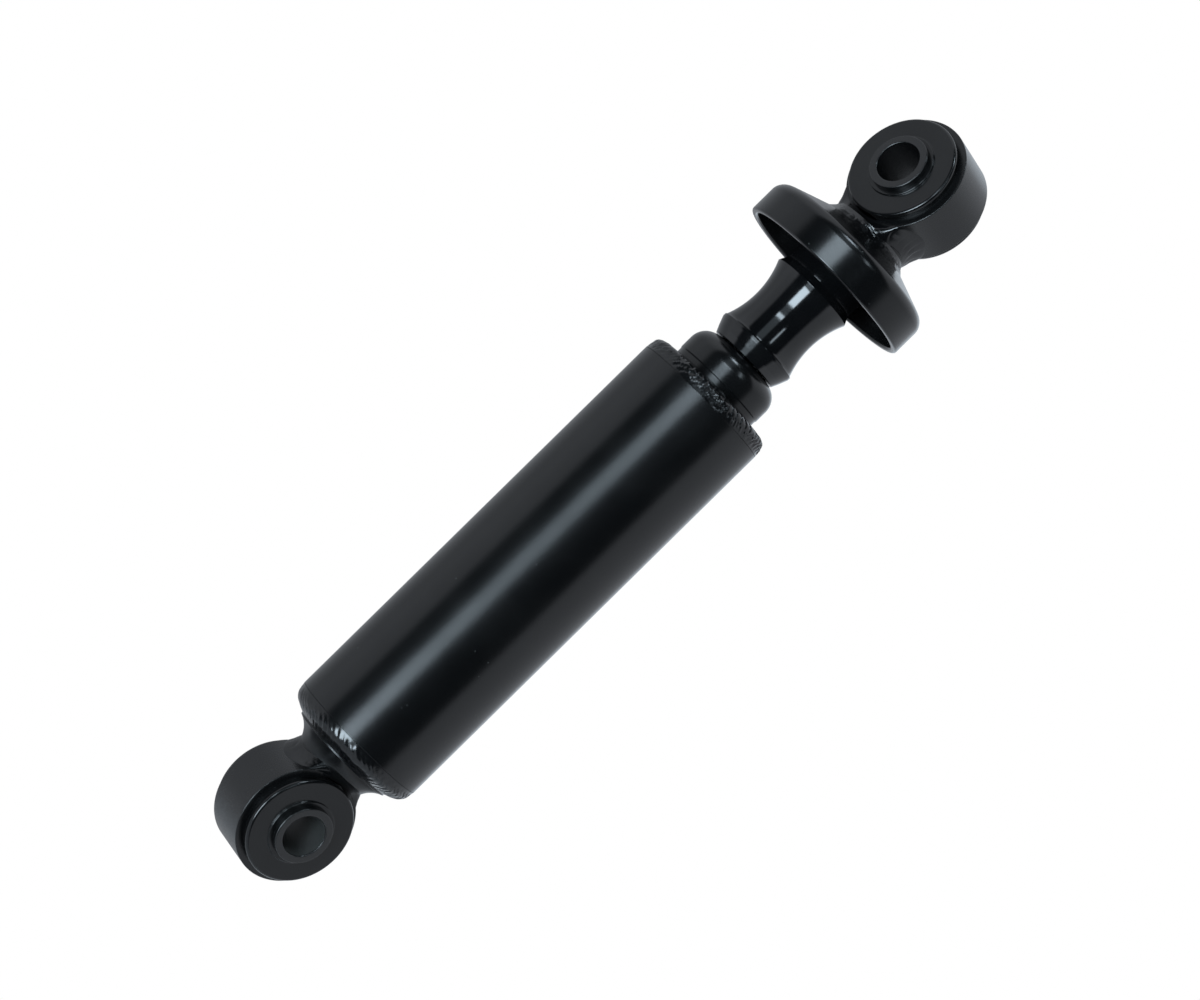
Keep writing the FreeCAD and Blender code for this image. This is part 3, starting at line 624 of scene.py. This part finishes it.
@dataclass
class Workbench:
    """Where finished meshes become pieces of the part."""

    sharp_angle: float = math.radians(38)
    made: int = 0

    def piece(
        self,
        name: str,
        mesh: Mesh,
        finish: Finish,
        body: Body,
        node: str,
        placing: Optional[Matrix] = None,
        second_finish: Optional[Finish] = None,
    ) -> None:
        """Make a piece, dress it and put it on its body.

        Args:
            name: The piece's name.
            mesh: Its mesh, which is used up.
            finish: Its finish.
            body: The body that it rides on.
            node: The CAD node that it stands for.
            placing: The turn and shift from where it was drawn to where it lies.
            second_finish: The finish of its faces with material index 1, if it has any.
        """
        if placing:
            bmesh.ops.transform(mesh, matrix=placing, verts=mesh.verts)
            bmesh.ops.recalc_face_normals(mesh, faces=mesh.faces)
        made = add_object(name, mesh)
        made.data.shade_smooth()
        made.data.set_sharp_from_angle(angle=self.sharp_angle)
        made.data.materials.append(finish.material())
        if second_finish:
            made.data.materials.append(second_finish.material())
        weighting = made.modifiers.new("even_shading", "WEIGHTED_NORMAL")
        weighting.keep_sharp = True
        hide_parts(node)
        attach(made, body.value)
        self.made += 1
        log.info("%s: %d faces, finish %s, on %s", name, len(made.data.polygons), finish.name, body.value)


def circle_centre(first: Point, second: Point, third: Point) -> Point:
    """Return the centre of the circle through three points."""
    ax, ay = first
    bx, by = second
    cx, cy = third
    twice_area = 2 * (ax * (by - cy) + bx * (cy - ay) + cx * (ay - by))
    a2, b2, c2 = ax * ax + ay * ay, bx * bx + by * by, cx * cx + cy * cy
    x = (a2 * (by - cy) + b2 * (cy - ay) + c2 * (ay - by)) / twice_area
    y = (a2 * (cx - bx) + b2 * (ax - cx) + c2 * (bx - ax)) / twice_area
    return x, y


def arc_radius(first: Point, second: Point, third: Point, height: float) -> float:
    """Return the radius at a height on the hollow arc through three (height, radius) points."""
    centre_height, centre_radius = circle_centre(first, second, third)
    bend = math.hypot(second[0] - centre_height, second[1] - centre_radius)
    return centre_radius - math.sqrt(bend**2 - (height - centre_height) ** 2)


def lying_at(height: float) -> Matrix:
    """Return the turn and lift that lay a piece drawn about Z along the upper eye's bore."""
    turn = Matrix.Rotation(UPPER_TURN, 4, "Z") @ Matrix.Rotation(math.pi / 2, 4, "X")
    return Matrix.Translation((0, 0, height)) @ turn


def hanging_from(height: float) -> Matrix:
    """Return the turn that hangs a piece drawn above the lower eye from the upper eye."""
    over = Matrix.Rotation(math.pi, 4, "X")
    aside = Matrix.Rotation(math.pi / 2 + UPPER_TURN, 4, "Z")
    return Matrix.Translation((0, 0, height)) @ aside @ over


@dataclass
class Eye:
    """A steel ring with its rubber bush and steel sleeve, drawn about Z and then laid in place.

    Both eyes take their sizes from the lower one's nodes, whose bore lies along X.
    """

    end: End
    ring_radius: float = node_size("lower_eye_ring").z / 2
    ring_half: float = node_size("lower_eye_ring").x / 2
    bush_half: float = node_size("lower_bush_rubber").x / 2
    sleeve_half: float = node_size("lower_sleeve").x / 2
    bore_radius: float = 10.25 * MM
    sleeve_radius: float = 14.0 * MM
    sleeve_edge: float = 0.55 * MM
    flange_radius: float = 26.0 * MM
    flange_thickness: float = 3.2 * MM
    flange_round: float = 1.5 * MM
    neck_radius: float = 24.8 * MM
    ring_wall: float = 5.0 * MM
    edge_round: float = 0.5 * MM
    running_gap: float = 0.05 * MM
    lip_radius: float = 15.7 * MM
    lip_height: float = 0.9 * MM
    lip_round: float = 0.6 * MM
    lip_foot: float = 0.4 * MM

    @property
    def height(self) -> float:
        """The height of the eye's centre."""
        node = self.end.value + "_eye_ring"
        return (node_bottom(node) + node_top(node)) / 2

    def ring(self) -> Mesh:
        """Turn the steel ring."""
        inner = (self.ring_radius - self.ring_wall, -self.ring_half)
        outer = (self.ring_radius, -self.ring_half, self.edge_round)
        return Lathe().pipe(inner, outer, self.ring_half)

    def bush(self) -> Mesh:
        """Turn the rubber bush, with its flanges and the low lip round the sleeve."""
        inner = self.sleeve_radius + self.running_gap
        back = self.bush_half - self.flange_thickness
        near = [
            (inner, -self.bush_half - self.lip_height),
            (self.lip_radius, -self.bush_half - self.lip_height, self.lip_round),
            (self.lip_radius + self.lip_foot, -self.bush_half, self.lip_foot),
            (self.flange_radius, -self.bush_half, self.flange_round),
            (self.flange_radius, -back, self.flange_round), (self.neck_radius, -back),
            (self.neck_radius, -self.ring_half), (self.ring_radius - self.ring_wall, -self.ring_half),
        ]
        far = [(radius, -height, *fillet) for radius, height, *fillet in reversed(near)]
        return Lathe().turned(*near, *far)

    def sleeve(self) -> Mesh:
        """Turn the steel sleeve that the bolt passes through; its bore has material index 1."""
        inner = (self.bore_radius, -self.sleeve_half, self.sleeve_edge)
        outer = (self.sleeve_radius, -self.sleeve_half, self.sleeve_edge)
        mesh = Lathe(128, 4).pipe(inner, outer, self.sleeve_half)
        bore_limit = self.bore_radius + 0.01 * MM
        for face in mesh.faces:
            face.material_index = int(face.calc_center_median().xy.length < bore_limit)
        return mesh

    def build(self, bench: Workbench) -> None:
        """Make the eye's pieces."""
        name = self.end.value
        body = self.end.carrier
        lower = self.end is End.LOWER
        placing = Matrix.Rotation(math.pi / 2, 4, "Y") if lower else lying_at(self.height)
        bench.piece(name + "_eye", self.ring(), EYE_PAINT, body, name + "_eye_ring", placing)
        bench.piece(
            name + "_bush", self.bush(), BUSH_RUBBER, body, name + "_bush_rubber", placing
        )
        bench.piece(
            name + "_bolt_sleeve", self.sleeve(), SLEEVE_PAINT, Body(name + "_sleeve"),
            # the lower bore takes the lighter grey of painted light
            name + "_sleeve", placing, LIT_BORE_PAINT if lower else SLEEVE_PAINT,
        )


@dataclass
class Neck:
    """The round stub between an eye ring and what carries it, drawn above the lower eye."""

    eye: Eye
    radius: float
    length: float
    flare: float = 0.0
    flare_height: float = 8.0 * MM
    flare_hollow: float = 1.2 * MM
    side_fillet: float = 7.0 * MM
    side_drop: float = 5.5 * MM
    side_blend: float = 3.0 * MM
    sink: float = 2.5 * MM
    weld_leg: float = 3.8 * MM
    weld_rise: float = 5.0 * MM
    weld_root: float = 2.0 * MM
    weld_sink: float = 1.0 * MM
    weld_hollow: float = 4.5 * MM
    weld_turn: float = math.radians(126)
    weld_taper: float = math.radians(26)
    weld_steps: int = 150
    rows: int = 40

    def radius_at(self, height: float) -> float:
        """Return the stub's radius at a height, with its hollow flare under the far end."""
        start = self.length - self.flare_height
        if not self.flare or height <= start:
            return self.radius
        chord = math.hypot(self.flare, self.flare_height)
        middle = (
            start + self.flare_height / 2 + self.flare_hollow * self.flare / chord,
            self.radius + self.flare / 2 - self.flare_hollow * self.flare_height / chord,
        )
        return arc_radius((start, self.radius), middle, (self.length, self.radius + self.flare), height)

    def side_limit(self, height: float) -> float:
        """Return how far the stub may reach along the bore, beside the ring's hollow shoulders."""
        above = height - (self.eye.ring_radius - self.side_drop)
        if above <= 0:
            return self.eye.ring_half
        if above >= self.side_fillet:
            return self.eye.ring_half + self.side_fillet
        return self.eye.ring_half + self.side_fillet - math.sqrt(self.side_fillet**2 - above**2)

    def stub(self) -> Mesh:
        """Shape the stub from a turned sheet that is fitted to the ring."""
        mesh = bmesh.new()
        low = mesh.verts.new((self.radius, 0, 0))
        high = mesh.verts.new((self.radius, 0, 1))
        rail = mesh.edges.new((low, high))
        bmesh.ops.subdivide_edges(mesh, edges=[rail], cuts=self.rows)
        Lathe().spin(mesh)
        close_ends(mesh)
        saddle_radius = self.eye.ring_radius - self.sink
        for vert in mesh.verts:
            turn = math.atan2(vert.co.y, vert.co.x)
            aside = self.radius * math.sin(turn)
            foot = math.sqrt(saddle_radius**2 - aside**2)
            height = foot + (self.length - foot) * vert.co.z
            radius = self.radius_at(height)
            reach = radius * math.cos(turn)
            limited = soft_minimum(abs(reach), self.side_limit(height), self.side_blend)
            vert.co = (math.copysign(limited, reach), radius * math.sin(turn), height)
        bmesh.ops.recalc_face_normals(mesh, faces=mesh.faces)
        return mesh

    def weld(self, side: int, ripple: Ripple) -> Mesh:
        """Lay a weld in the corner between the stub and the ring.

        Args:
            side: 1 or -1 for the side across the bore.
            ripple: The bead's ripples.

        Returns:
            A closed mesh of the weld.
        """
        lathe = Lathe(fillet_segments=9)
        inner = self.radius - self.weld_root
        mesh = lathe.outline(
            [
                (inner, -self.weld_sink), (self.radius + self.weld_leg, -self.weld_sink),
                (self.radius + self.weld_leg * 0.92, 0.25 * MM),
                (self.radius + self.weld_leg * 0.3, self.weld_rise * 0.42, self.weld_hollow),
                (self.radius - 0.1 * MM, self.weld_rise), (inner, self.weld_rise),
            ]
        )
        lathe.divide(mesh, 0.6 * MM)
        start = Matrix.Rotation(math.radians(90) * side - self.weld_turn / 2, 4, "Z")
        bmesh.ops.transform(mesh, matrix=start, verts=mesh.verts)
        lathe.spin(mesh, self.weld_turn, self.weld_steps)
        mesh.normal_update()
        shifts = []
        for vert in mesh.verts:
            turn = math.atan2(vert.co.y, vert.co.x)
            share = min(max(vert.co.z / self.weld_rise, 0.0), 1.0)
            swell = math.sin(math.pi * share) if vert.normal.xy.dot(vert.co.xy) > 0 else 0.0
            from_end = self.weld_turn / 2 - abs(abs(turn) - math.pi / 2)
            body = smooth_share(from_end, 0.0, self.weld_taper)
            lift = swell * body * ripple.height(turn * self.radius, share)
            stand = max(vert.co.xy.length - self.radius + 0.3 * MM, 0.0)
            shifts.append((vert, lift - stand * (1 - body)))
        for vert, shift in shifts:
            outward = Vector((vert.co.x, vert.co.y, 0)).normalized()
            moved = vert.co + outward * shift
            away = math.sin(math.atan2(moved.y, moved.x)) * (self.radius + self.weld_leg)
            foot = math.sqrt(self.eye.ring_radius**2 - min(abs(away), abs(moved.y)) ** 2)
            height = foot + moved.z
            limit = self.side_limit(height) + 0.15 * MM
            along = math.copysign(soft_minimum(abs(moved.x), limit, self.side_blend), moved.x)
            vert.co = (along, moved.y, height)
        bmesh.ops.recalc_face_normals(mesh, faces=mesh.faces)
        return mesh

    def build(self, bench: Workbench, node: str) -> None:
        """Make the stub, which stands for a CAD node, and the two welds that hold it to the ring."""
        name = self.eye.end.value
        body = self.eye.end.carrier
        placing = None if self.eye.end is End.LOWER else hanging_from(self.eye.height)
        bench.piece(name + "_neck", self.stub(), NECK_PAINT, body, node, placing)
        for side, word in ((1, "first"), (-1, "second")):
            ripple = Ripple(pitch=4.2 * MM, depth=0.45 * MM, seed=4.0 + side)
            bench.piece(
                f"{name}_neck_weld_{word}", self.weld(side, ripple), WELD_PAINT, body,
                name + "_eye_weld", placing,
            )


@dataclass
class Casing:
    """The damper's body: base cap, reservoir tube, collar and the two broad welds."""

    cap_bottom: float = node_bottom("base_cap")
    tube_bottom: float = node_bottom("reservoir_tube")
    tube_top: float = node_top("reservoir_tube")
    collar_top: float = node_top("collar")
    tube_radius: float = node_size("reservoir_tube").x / 2
    collar_radius: float = node_size("collar").x / 2
    boss_radius: float = 26.2 * MM
    tube_wall: float = 2.5 * MM
    tube_edge_round: float = 0.45 * MM
    cap_hole_radius: float = 1.0 * MM
    cap_round: float = 0.2 * MM
    cap_rim_height: float = 9.0 * MM
    lower_toe: float = 0.1 * MM
    lower_root: float = 1.0 * MM
    lower_crown_inset: float = 1.2 * MM
    lower_crown_drop: float = 6.1 * MM
    lower_crown_round: float = 6.0 * MM
    lower_ripples: int = 60
    upper_root: float = 0.5 * MM
    upper_bead_height: float = 8.5 * MM
    upper_crown_inset: float = 1.4 * MM
    upper_crown_rise: float = 6.6 * MM
    upper_crown_round: float = 3.0 * MM
    upper_ripples: int = 62
    collar_wall: float = 2.5 * MM
    collar_roll: float = 9.2 * MM
    collar_inner_roll: float = 4.2 * MM
    collar_mouth_radius: float = 14.5 * MM
    collar_foot_inset: float = 0.35 * MM
    collar_foot_height: float = 2.4 * MM
    collar_foot_slope: float = 0.7 * MM
    collar_foot_round: float = 0.4 * MM
    bead_segments: int = 560
    bead_fade: float = 0.12

    def base_cap(self) -> Mesh:
        """Turn the cap that closes the tube."""
        rim = self.tube_radius - self.tube_wall
        return Lathe().turned(
            (self.cap_hole_radius, self.cap_bottom),
            (self.boss_radius, self.cap_bottom, self.cap_round), (self.boss_radius, self.tube_bottom),
            (rim, self.tube_bottom), (rim, self.tube_bottom + self.cap_rim_height),
            (self.cap_hole_radius, self.tube_bottom),
        )

    def tube(self) -> Mesh:
        """Turn the reservoir tube."""
        inner = (self.tube_radius - self.tube_wall, self.tube_bottom)
        outer = (self.tube_radius, self.tube_bottom, self.tube_edge_round)
        return Lathe(256).pipe(inner, outer, self.tube_top)

    def bead(self, corners: Outline, low: float, high: float, ripple: Ripple) -> Mesh:
        """Lay a broad weld bead with ripples that fade toward its lower and upper toe.

        Args:
            corners: The bead's outline.
            low: Height of its lower toe.
            high: Height of its upper toe.
            ripple: Its ripples.

        Returns:
            The bead's mesh.
        """
        hidden_radius = self.collar_radius + 0.05 * MM

        def rise(vert: Vert) -> float:
            """Return the ripples' height at a point."""
            if vert.co.xy.length < hidden_radius or min(vert.co.z - low, high - vert.co.z) <= 0:
                return 0.0
            share = smooth_share(vert.co.z, low, high)
            fading = smooth_share(min(share, 1 - share), 0.0, self.bead_fade)
            travel = math.atan2(vert.co.y, vert.co.x) * self.tube_radius
            return (ripple.height(travel, share) - ripple.depth * ripple.lump) * fading

        return Lathe(self.bead_segments).bead(corners, 0.7 * MM, rise)

    def lower_bead(self) -> Mesh:
        """Lay the weld between the base cap and the tube."""
        root = self.boss_radius - self.lower_root
        low = self.cap_bottom + self.lower_toe + self.cap_round
        crown = (
            self.tube_radius - self.lower_crown_inset, self.tube_bottom - self.lower_crown_drop,
            self.lower_crown_round,
        )
        toe = (self.tube_radius, self.tube_bottom)
        corners = [(root, low), crown, toe, (root, self.tube_bottom)]
        pitch = WHOLE_TURN * self.tube_radius / self.lower_ripples
        return self.bead(corners, low, self.tube_bottom, Ripple(pitch, depth=0.5 * MM, seed=1.0))

    def upper_bead(self) -> Mesh:
        """Lay the weld between the tube and the collar."""
        root = self.collar_radius - self.upper_root
        top = self.tube_top + self.upper_bead_height
        crown = (
            self.tube_radius - self.upper_crown_inset, self.tube_top + self.upper_crown_rise,
            self.upper_crown_round,
        )
        toe = (self.tube_radius, self.tube_top)
        corners = [(root, self.tube_top), toe, crown, (root, top)]
        pitch = WHOLE_TURN * self.tube_radius / self.upper_ripples
        return self.bead(corners, self.tube_top, top, Ripple(pitch, depth=0.75 * MM, lean=-1.6, seed=2.0))

    def collar(self) -> Mesh:
        """Turn the collar with its rolled end and the low waist over the weld."""
        inner = self.collar_radius - self.collar_wall
        foot = self.collar_radius - self.collar_foot_inset
        foot_top = self.tube_top + self.upper_bead_height + self.collar_foot_height
        return Lathe(192, 14).turned(
            (inner, self.tube_top), (foot, self.tube_top), (foot, foot_top, self.collar_foot_round),
            (self.collar_radius, foot_top + self.collar_foot_slope, self.collar_foot_round),
            (self.collar_radius, self.collar_top, self.collar_roll),
            (self.collar_mouth_radius, self.collar_top, 0.25 * MM),
            (self.collar_mouth_radius, self.collar_top - self.collar_wall),
            (inner, self.collar_top - self.collar_wall, self.collar_inner_roll),
        )

    def build(self, bench: Workbench) -> None:
        """Make the casing's pieces."""
        body = Body.DAMPER
        bench.piece("base_plate", self.base_cap(), EYE_PAINT, body, "base_cap")
        bench.piece("reservoir", self.tube(), TUBE_PAINT, body, "reservoir_tube")
        bench.piece("base_bead", self.lower_bead(), SMOOTH_WELD_PAINT, body, "lower_weld_bead")
        bench.piece("shoulder_bead", self.upper_bead(), WELD_PAINT, body, "upper_weld_bead")
        bench.piece("rolled_collar", self.collar(), SMOOTH_PAINT, body, "collar")


@dataclass
class RodEnd:
    """What the rod carries outside the body: bump stop, cup, its weld and the chromed rod."""

    stop_bottom: float = node_bottom("bump_stop")
    head_bottom: float = node_bottom("rod_head")
    rod_bottom: float = node_bottom("piston_rod")
    rod_step: float = node_top("backing_washer")
    rod_top: float = node_top("piston_rod")
    cup_radius: float = node_size("cup").x / 2
    cup_bottom: float = node_bottom("cup")
    cup_top: float = node_top("cup")
    rod_centre_radius: float = 0.2 * MM
    rod_thread_radius: float = 6.0 * MM
    rod_radius: float = 9.0 * MM
    rod_spigot_radius: float = 8.0 * MM
    head_radius: float = 19.8 * MM
    foot_radius: float = 17.6 * MM
    foot_edge_radius: float = 19.1 * MM
    foot_edge_rise: float = 3.3 * MM
    foot_round: float = 0.5 * MM
    crest_radius: float = 20.75 * MM
    crest_rise: float = 7.6 * MM
    crest_width: float = 1.3 * MM
    groove_depth: float = 0.6 * MM
    waist_radius: float = 17.35 * MM
    waist_rise: float = 24.7 * MM
    waist_steps: int = 28
    shoulder_radius: float = 20.4 * MM
    shoulder_rise: float = 41.3 * MM
    upper_crest_radius: float = 21.2 * MM
    upper_crest_rise: float = 43.2 * MM
    top_radius: float = 19.4 * MM
    top_rise: float = 46.8 * MM
    cup_wall: float = 3.5 * MM
    crown_fall: float = 10.0 * MM
    corner_round: float = 6.0 * MM
    rim_round: float = 1.2 * MM
    weld_leg: float = 4.5 * MM
    weld_rise: float = 3.4 * MM
    weld_ripples: int = 38

    def crown_height(self, radius: float) -> float:
        """Return the height of the cup's outer crown at a radius."""
        share = (radius - self.head_radius) / (self.cup_radius - self.head_radius)
        return self.cup_top - self.crown_fall * share

    def bump_stop(self) -> Mesh:
        """Turn the hourglass stop, whose waist is an arc from the lower crest to the shoulder."""
        low = self.stop_bottom
        crest_end = self.crest_rise + self.crest_width
        start = (crest_end + self.groove_depth, self.crest_radius - self.groove_depth)
        middle = (self.waist_rise, self.waist_radius)
        end = (self.shoulder_rise, self.shoulder_radius)
        waist = []
        for index in range(self.waist_steps + 1):
            rise = start[0] + (end[0] - start[0]) * index / self.waist_steps
            waist.append((arc_radius(start, middle, end, rise), low + rise))
        return Lathe(192).turned(
            (self.rod_radius, low), (self.foot_radius, low, self.foot_round),
            (self.foot_edge_radius, low + self.foot_edge_rise, self.foot_round),
            (self.crest_radius, low + self.crest_rise, self.foot_round),
            (self.crest_radius, low + crest_end, 0.3 * MM),
            *waist,
            (self.upper_crest_radius, low + self.upper_crest_rise, 0.35 * MM),
            (self.top_radius, low + self.top_rise, 2.0 * MM), (self.top_radius, self.head_bottom),
            (self.rod_radius, self.head_bottom),
        )

    def cup(self) -> Mesh:
        """Turn the pressed cup."""
        inner = self.cup_radius - self.cup_wall
        return Lathe(256, 7).turned(
            (inner, self.cup_bottom, self.rim_round),
            (self.cup_radius, self.cup_bottom, self.rim_round),
            (self.cup_radius, self.crown_height(self.cup_radius), self.corner_round),
            (self.head_radius, self.crown_height(self.head_radius)),
            (self.head_radius, self.crown_height(self.head_radius) - self.cup_wall),
            (inner, self.crown_height(inner) - self.cup_wall, self.corner_round - self.cup_wall),
        )

    def cup_weld(self) -> Mesh:
        """Lay the hollow weld between the cup and the head."""
        toe = self.head_radius + self.weld_leg
        low = self.crown_height(toe)
        top = self.crown_height(self.head_radius) + self.weld_rise
        corners = [
            (self.head_radius - 0.5 * MM, self.crown_height(self.head_radius) - 1.0 * MM),
            (toe, low - 0.2 * MM),
            (self.head_radius + self.weld_leg * 0.25, top - self.weld_rise * 0.75, 3.0 * MM),
            (self.head_radius - 0.1 * MM, top),
        ]
        ripple = Ripple(pitch=WHOLE_TURN * toe / self.weld_ripples, depth=0.35 * MM, seed=9.0)

        def rise(vert: Vert) -> float:
            """Return the ripples' height at a point of the open face."""
            if vert.co.xy.length <= self.head_radius + 0.02 * MM:
                return 0.0
            share = smooth_share(vert.co.z, low, top)
            travel = math.atan2(vert.co.y, vert.co.x) * toe
            return ripple.height(travel, share) * math.sin(math.pi * share)

        return Lathe(360, 8).bead(corners, 0.5 * MM, rise)

    def rod(self) -> Mesh:
        """Turn the piston rod."""
        return Lathe(96, 3).turned(
            (self.rod_centre_radius, self.rod_bottom),
            (self.rod_thread_radius, self.rod_bottom, 0.5 * MM),
            (self.rod_thread_radius, self.rod_step), (self.rod_radius, self.rod_step),
            (self.rod_radius, self.head_bottom), (self.rod_spigot_radius, self.head_bottom),
            (self.rod_spigot_radius, self.rod_top, 0.8 * MM), (self.rod_centre_radius, self.rod_top),
        )

    def build(self, bench: Workbench) -> None:
        """Make the rod end's pieces."""
        body = Body.ROD
        bench.piece("hourglass_stop", self.bump_stop(), STOP_RUBBER, body, "bump_stop")
        bench.piece("dust_cup", self.cup(), SMOOTH_PAINT, body, "cup")
        bench.piece("cup_neck_weld", self.cup_weld(), WELD_PAINT, body, "cup_weld")
        bench.piece("chromed_rod", self.rod(), CHROME, body, "piston_rod")


@dataclass(frozen=True)
class Softbox:
    """A lamp with soft edges, placed by its angles as seen from the part, in degrees."""

    low: float
    high: float
    strength: float
    azimuth: float = -16.0
    half_width: float = 11.0
    soft: float = 0.8
    side_soft: float = 2.0

    def shine(self, azimuth: Wire, elevation: Wire) -> Wire:
        """Return the lamp's strength in a direction."""
        across = abs(azimuth - self.azimuth)
        width = 1 - across.fade(self.half_width - self.side_soft, self.half_width + self.side_soft)
        over = elevation.fade(self.low - self.soft, self.low + self.soft)
        under = 1 - elevation.fade(self.high - self.soft, self.high + self.soft)
        return width * over * under * self.strength


SOFTBOXES = (
    Softbox(low=-34.5, high=-7.4, strength=17.0),
    Softbox(low=6.2, high=11.5, strength=13.0),
    Softbox(low=55.0, high=64.0, strength=18.0),
    Softbox(low=-52.0, high=52.0, strength=0.85),
    Softbox(low=-54.0, high=-36.5, strength=1.2),
    Softbox(low=15.0, high=39.0, strength=6.5, azimuth=21.0, half_width=2.5),
    Softbox(low=-50.0, high=50.0, strength=0.4, azimuth=165.0, half_width=12.0, soft=8.0),
)


@dataclass
class Studio:
    """Camera, floor and soft light round the part."""

    look_azimuth: float = math.radians(51.3)
    look_elevation: float = math.radians(-1.4)
    tilt: float = math.radians(44.5)
    aim_height: float = 0.1990
    aim_aside: float = -0.22 * MM
    distance: float = 1.43
    lens: float = 95.0
    floor_height: float = -0.45
    floor_radius: float = 0.6
    floor_colour: Colour = (0.86, 0.87, 0.88)
    wall_colour: Colour = (0.88, 0.93, 1.0)
    lamp_colour: Colour = (0.74, 0.89, 1.0)
    white: Colour = (1.0, 1.0, 1.0)
    wall_strength: float = 0.66
    front_glow: float = 0.01
    left_shade: float = 0.32
    height_gain: float = 0.4

    @property
    def aside(self) -> Vector:
        """The level direction to the camera's right."""
        return Vector((math.cos(self.look_azimuth), math.sin(self.look_azimuth), 0.0))

    def toward_camera(self, elevation: float) -> Vector:
        """Return the direction from the part to the camera at an elevation."""
        level = math.cos(elevation)
        aside = self.aside
        return Vector((aside.y * level, -aside.x * level, math.sin(elevation)))

    def camera(self) -> None:
        """Set up the camera at the photograph's viewing angle."""
        data = bpy.data.cameras.new("camera")
        data.lens = self.lens
        data.clip_start = 0.01
        data.clip_end = 50.0
        made = bpy.data.objects.new("camera", data)
        bpy.context.scene.collection.objects.link(made)
        bpy.context.scene.camera = made
        back = self.toward_camera(self.look_elevation)
        upward = back.cross(self.aside)
        right = upward * math.cos(self.tilt) + self.aside * math.sin(self.tilt)
        top = upward * math.sin(self.tilt) - self.aside * math.cos(self.tilt)
        turn = Matrix((right, top, back)).transposed().to_4x4()
        aim = Vector((0, 0, self.aim_height)) + self.aside * self.aim_aside
        made.matrix_world = Matrix.Translation(aim + back * self.distance) @ turn
        log.info("camera at %s", tuple(round(c, 3) for c in made.matrix_world.translation))

    def floor(self) -> None:
        """Lay a pale round floor whose edge fades into the white surroundings."""
        mesh = bmesh.new()
        bmesh.ops.create_circle(mesh, cap_ends=True, segments=96, radius=self.floor_radius)
        bmesh.ops.translate(mesh, vec=(0, 0, self.floor_height), verts=mesh.verts)
        made = add_object("floor", mesh)
        paper = bpy.data.materials.new("pale_floor")
        paper.use_nodes = True
        board = Board(paper.node_tree)
        radius = board.measure("LENGTH", board.along((1.0, 1.0, 0.0)))
        edge = radius.fade(self.floor_radius * 0.45, self.floor_radius * 0.97)
        seen = board.wire("ShaderNodeLightPath", output="Is Camera Ray")
        pale = board.wire("ShaderNodeBsdfDiffuse", inputs={"Color": (*self.floor_colour, 1.0)})
        white = board.glow("ShaderNodeEmission", self.white)
        mixed = board.wire("ShaderNodeMixShader", inputs={"Fac": edge * seen, 1: pale, 2: white})
        board.node("ShaderNodeOutputMaterial", inputs={"Surface": mixed})
        made.data.materials.append(paper)

    def walls(self, azimuth: Wire, elevation: Wire) -> Wire:
        """Return the strength of the white walls, which leave a dark band at the camera's side.

        Args:
            azimuth: The ray's angle from the camera, toward the right, in degrees.
            elevation: The ray's angle over the level, in degrees.

        Returns:
            The walls' strength.
        """
        beside = abs(azimuth).fade(56.0, 67.0)
        left = (0 - azimuth).fade(92.0, 118.0) * self.left_shade
        height = abs(elevation).fade(15.0, 50.0) * self.height_gain
        return beside * (1 - left + height) * self.wall_strength + self.front_glow

    def room(self) -> None:
        """Light the part with white walls, a dark front and tall softboxes beside the camera."""
        world = bpy.data.worlds.new("studio")
        bpy.context.scene.world = world
        world.use_nodes = True
        board = Board(world.node_tree)
        ray = board.wire("ShaderNodeTexCoord", output="Generated")
        rightward = board.measure("DOT_PRODUCT", ray, self.aside)
        forward = board.measure("DOT_PRODUCT", ray, self.toward_camera(0.0))
        upward = board.measure("DOT_PRODUCT", ray, Vector((0, 0, 1)))
        azimuth = board.maths("ARCTAN2", rightward, forward) * math.degrees(1)
        elevation = board.maths("ARCSINE", upward) * math.degrees(1)
        background = "ShaderNodeBackground"
        walls = board.glow(background, self.wall_colour, self.walls(azimuth, elevation))
        shine = sum(softbox.shine(azimuth, elevation) for softbox in SOFTBOXES)
        lamps = board.glow(background, self.lamp_colour, shine)
        light = board.wire("ShaderNodeAddShader", inputs={0: walls, 1: lamps})
        white = board.glow(background, self.white)
        straight = board.wire("ShaderNodeLightPath", output="Is Camera Ray")
        through = board.wire("ShaderNodeLightPath", output="Is Transmission Ray")
        seen = board.maths("MAXIMUM", straight, through)
        mixed = board.wire("ShaderNodeMixShader", inputs={"Fac": seen, 1: light, 2: white})
        board.node("ShaderNodeOutputWorld", inputs={"Surface": mixed})

    def build(self) -> None:
        """Set up the studio."""
        bpy.context.scene.view_settings.view_transform = "Standard"
        self.camera()
        self.floor()
        self.room()


def dress_nodes() -> None:
    """Give every CAD node its slot's finish, for the inner ones that stay as they are."""
    slots = {part["node"]: part["material_slot"] for part in frame["record"]["subparts"]}
    for name, node in frame["nodes"].items():
        finish = SLOT_FINISHES[slots[name]]
        node.data.materials.clear()
        node.data.materials.append(finish.material())
        log.info("%s: CAD node in %s", name, finish.name)


def main() -> None:
    """Build the studio, the frame's finishes and every new piece in order."""
    logging.basicConfig(level=logging.INFO, format="%(name)s: %(message)s")
    Studio().build()
    dress_nodes()
    bench = Workbench()
    lower = Eye(End.LOWER)
    upper = Eye(End.UPPER)
    casing = Casing()
    rod_end = RodEnd()
    for group in (casing, rod_end, lower, upper):
        group.build(bench)
    lower_neck = Neck(lower, radius=18.4 * MM, length=casing.cap_bottom, flare=7.6 * MM)
    lower_neck.build(bench, "lower_stub")
    upper_neck = Neck(
        upper, radius=rod_end.head_radius, length=upper.height - rod_end.head_bottom,
        weld_leg=4.4 * MM, weld_rise=7.0 * MM,
    )
    upper_neck.build(bench, "rod_head")
    log.info("%d new pieces", bench.made)


if __name__ == "__main__":
    main()
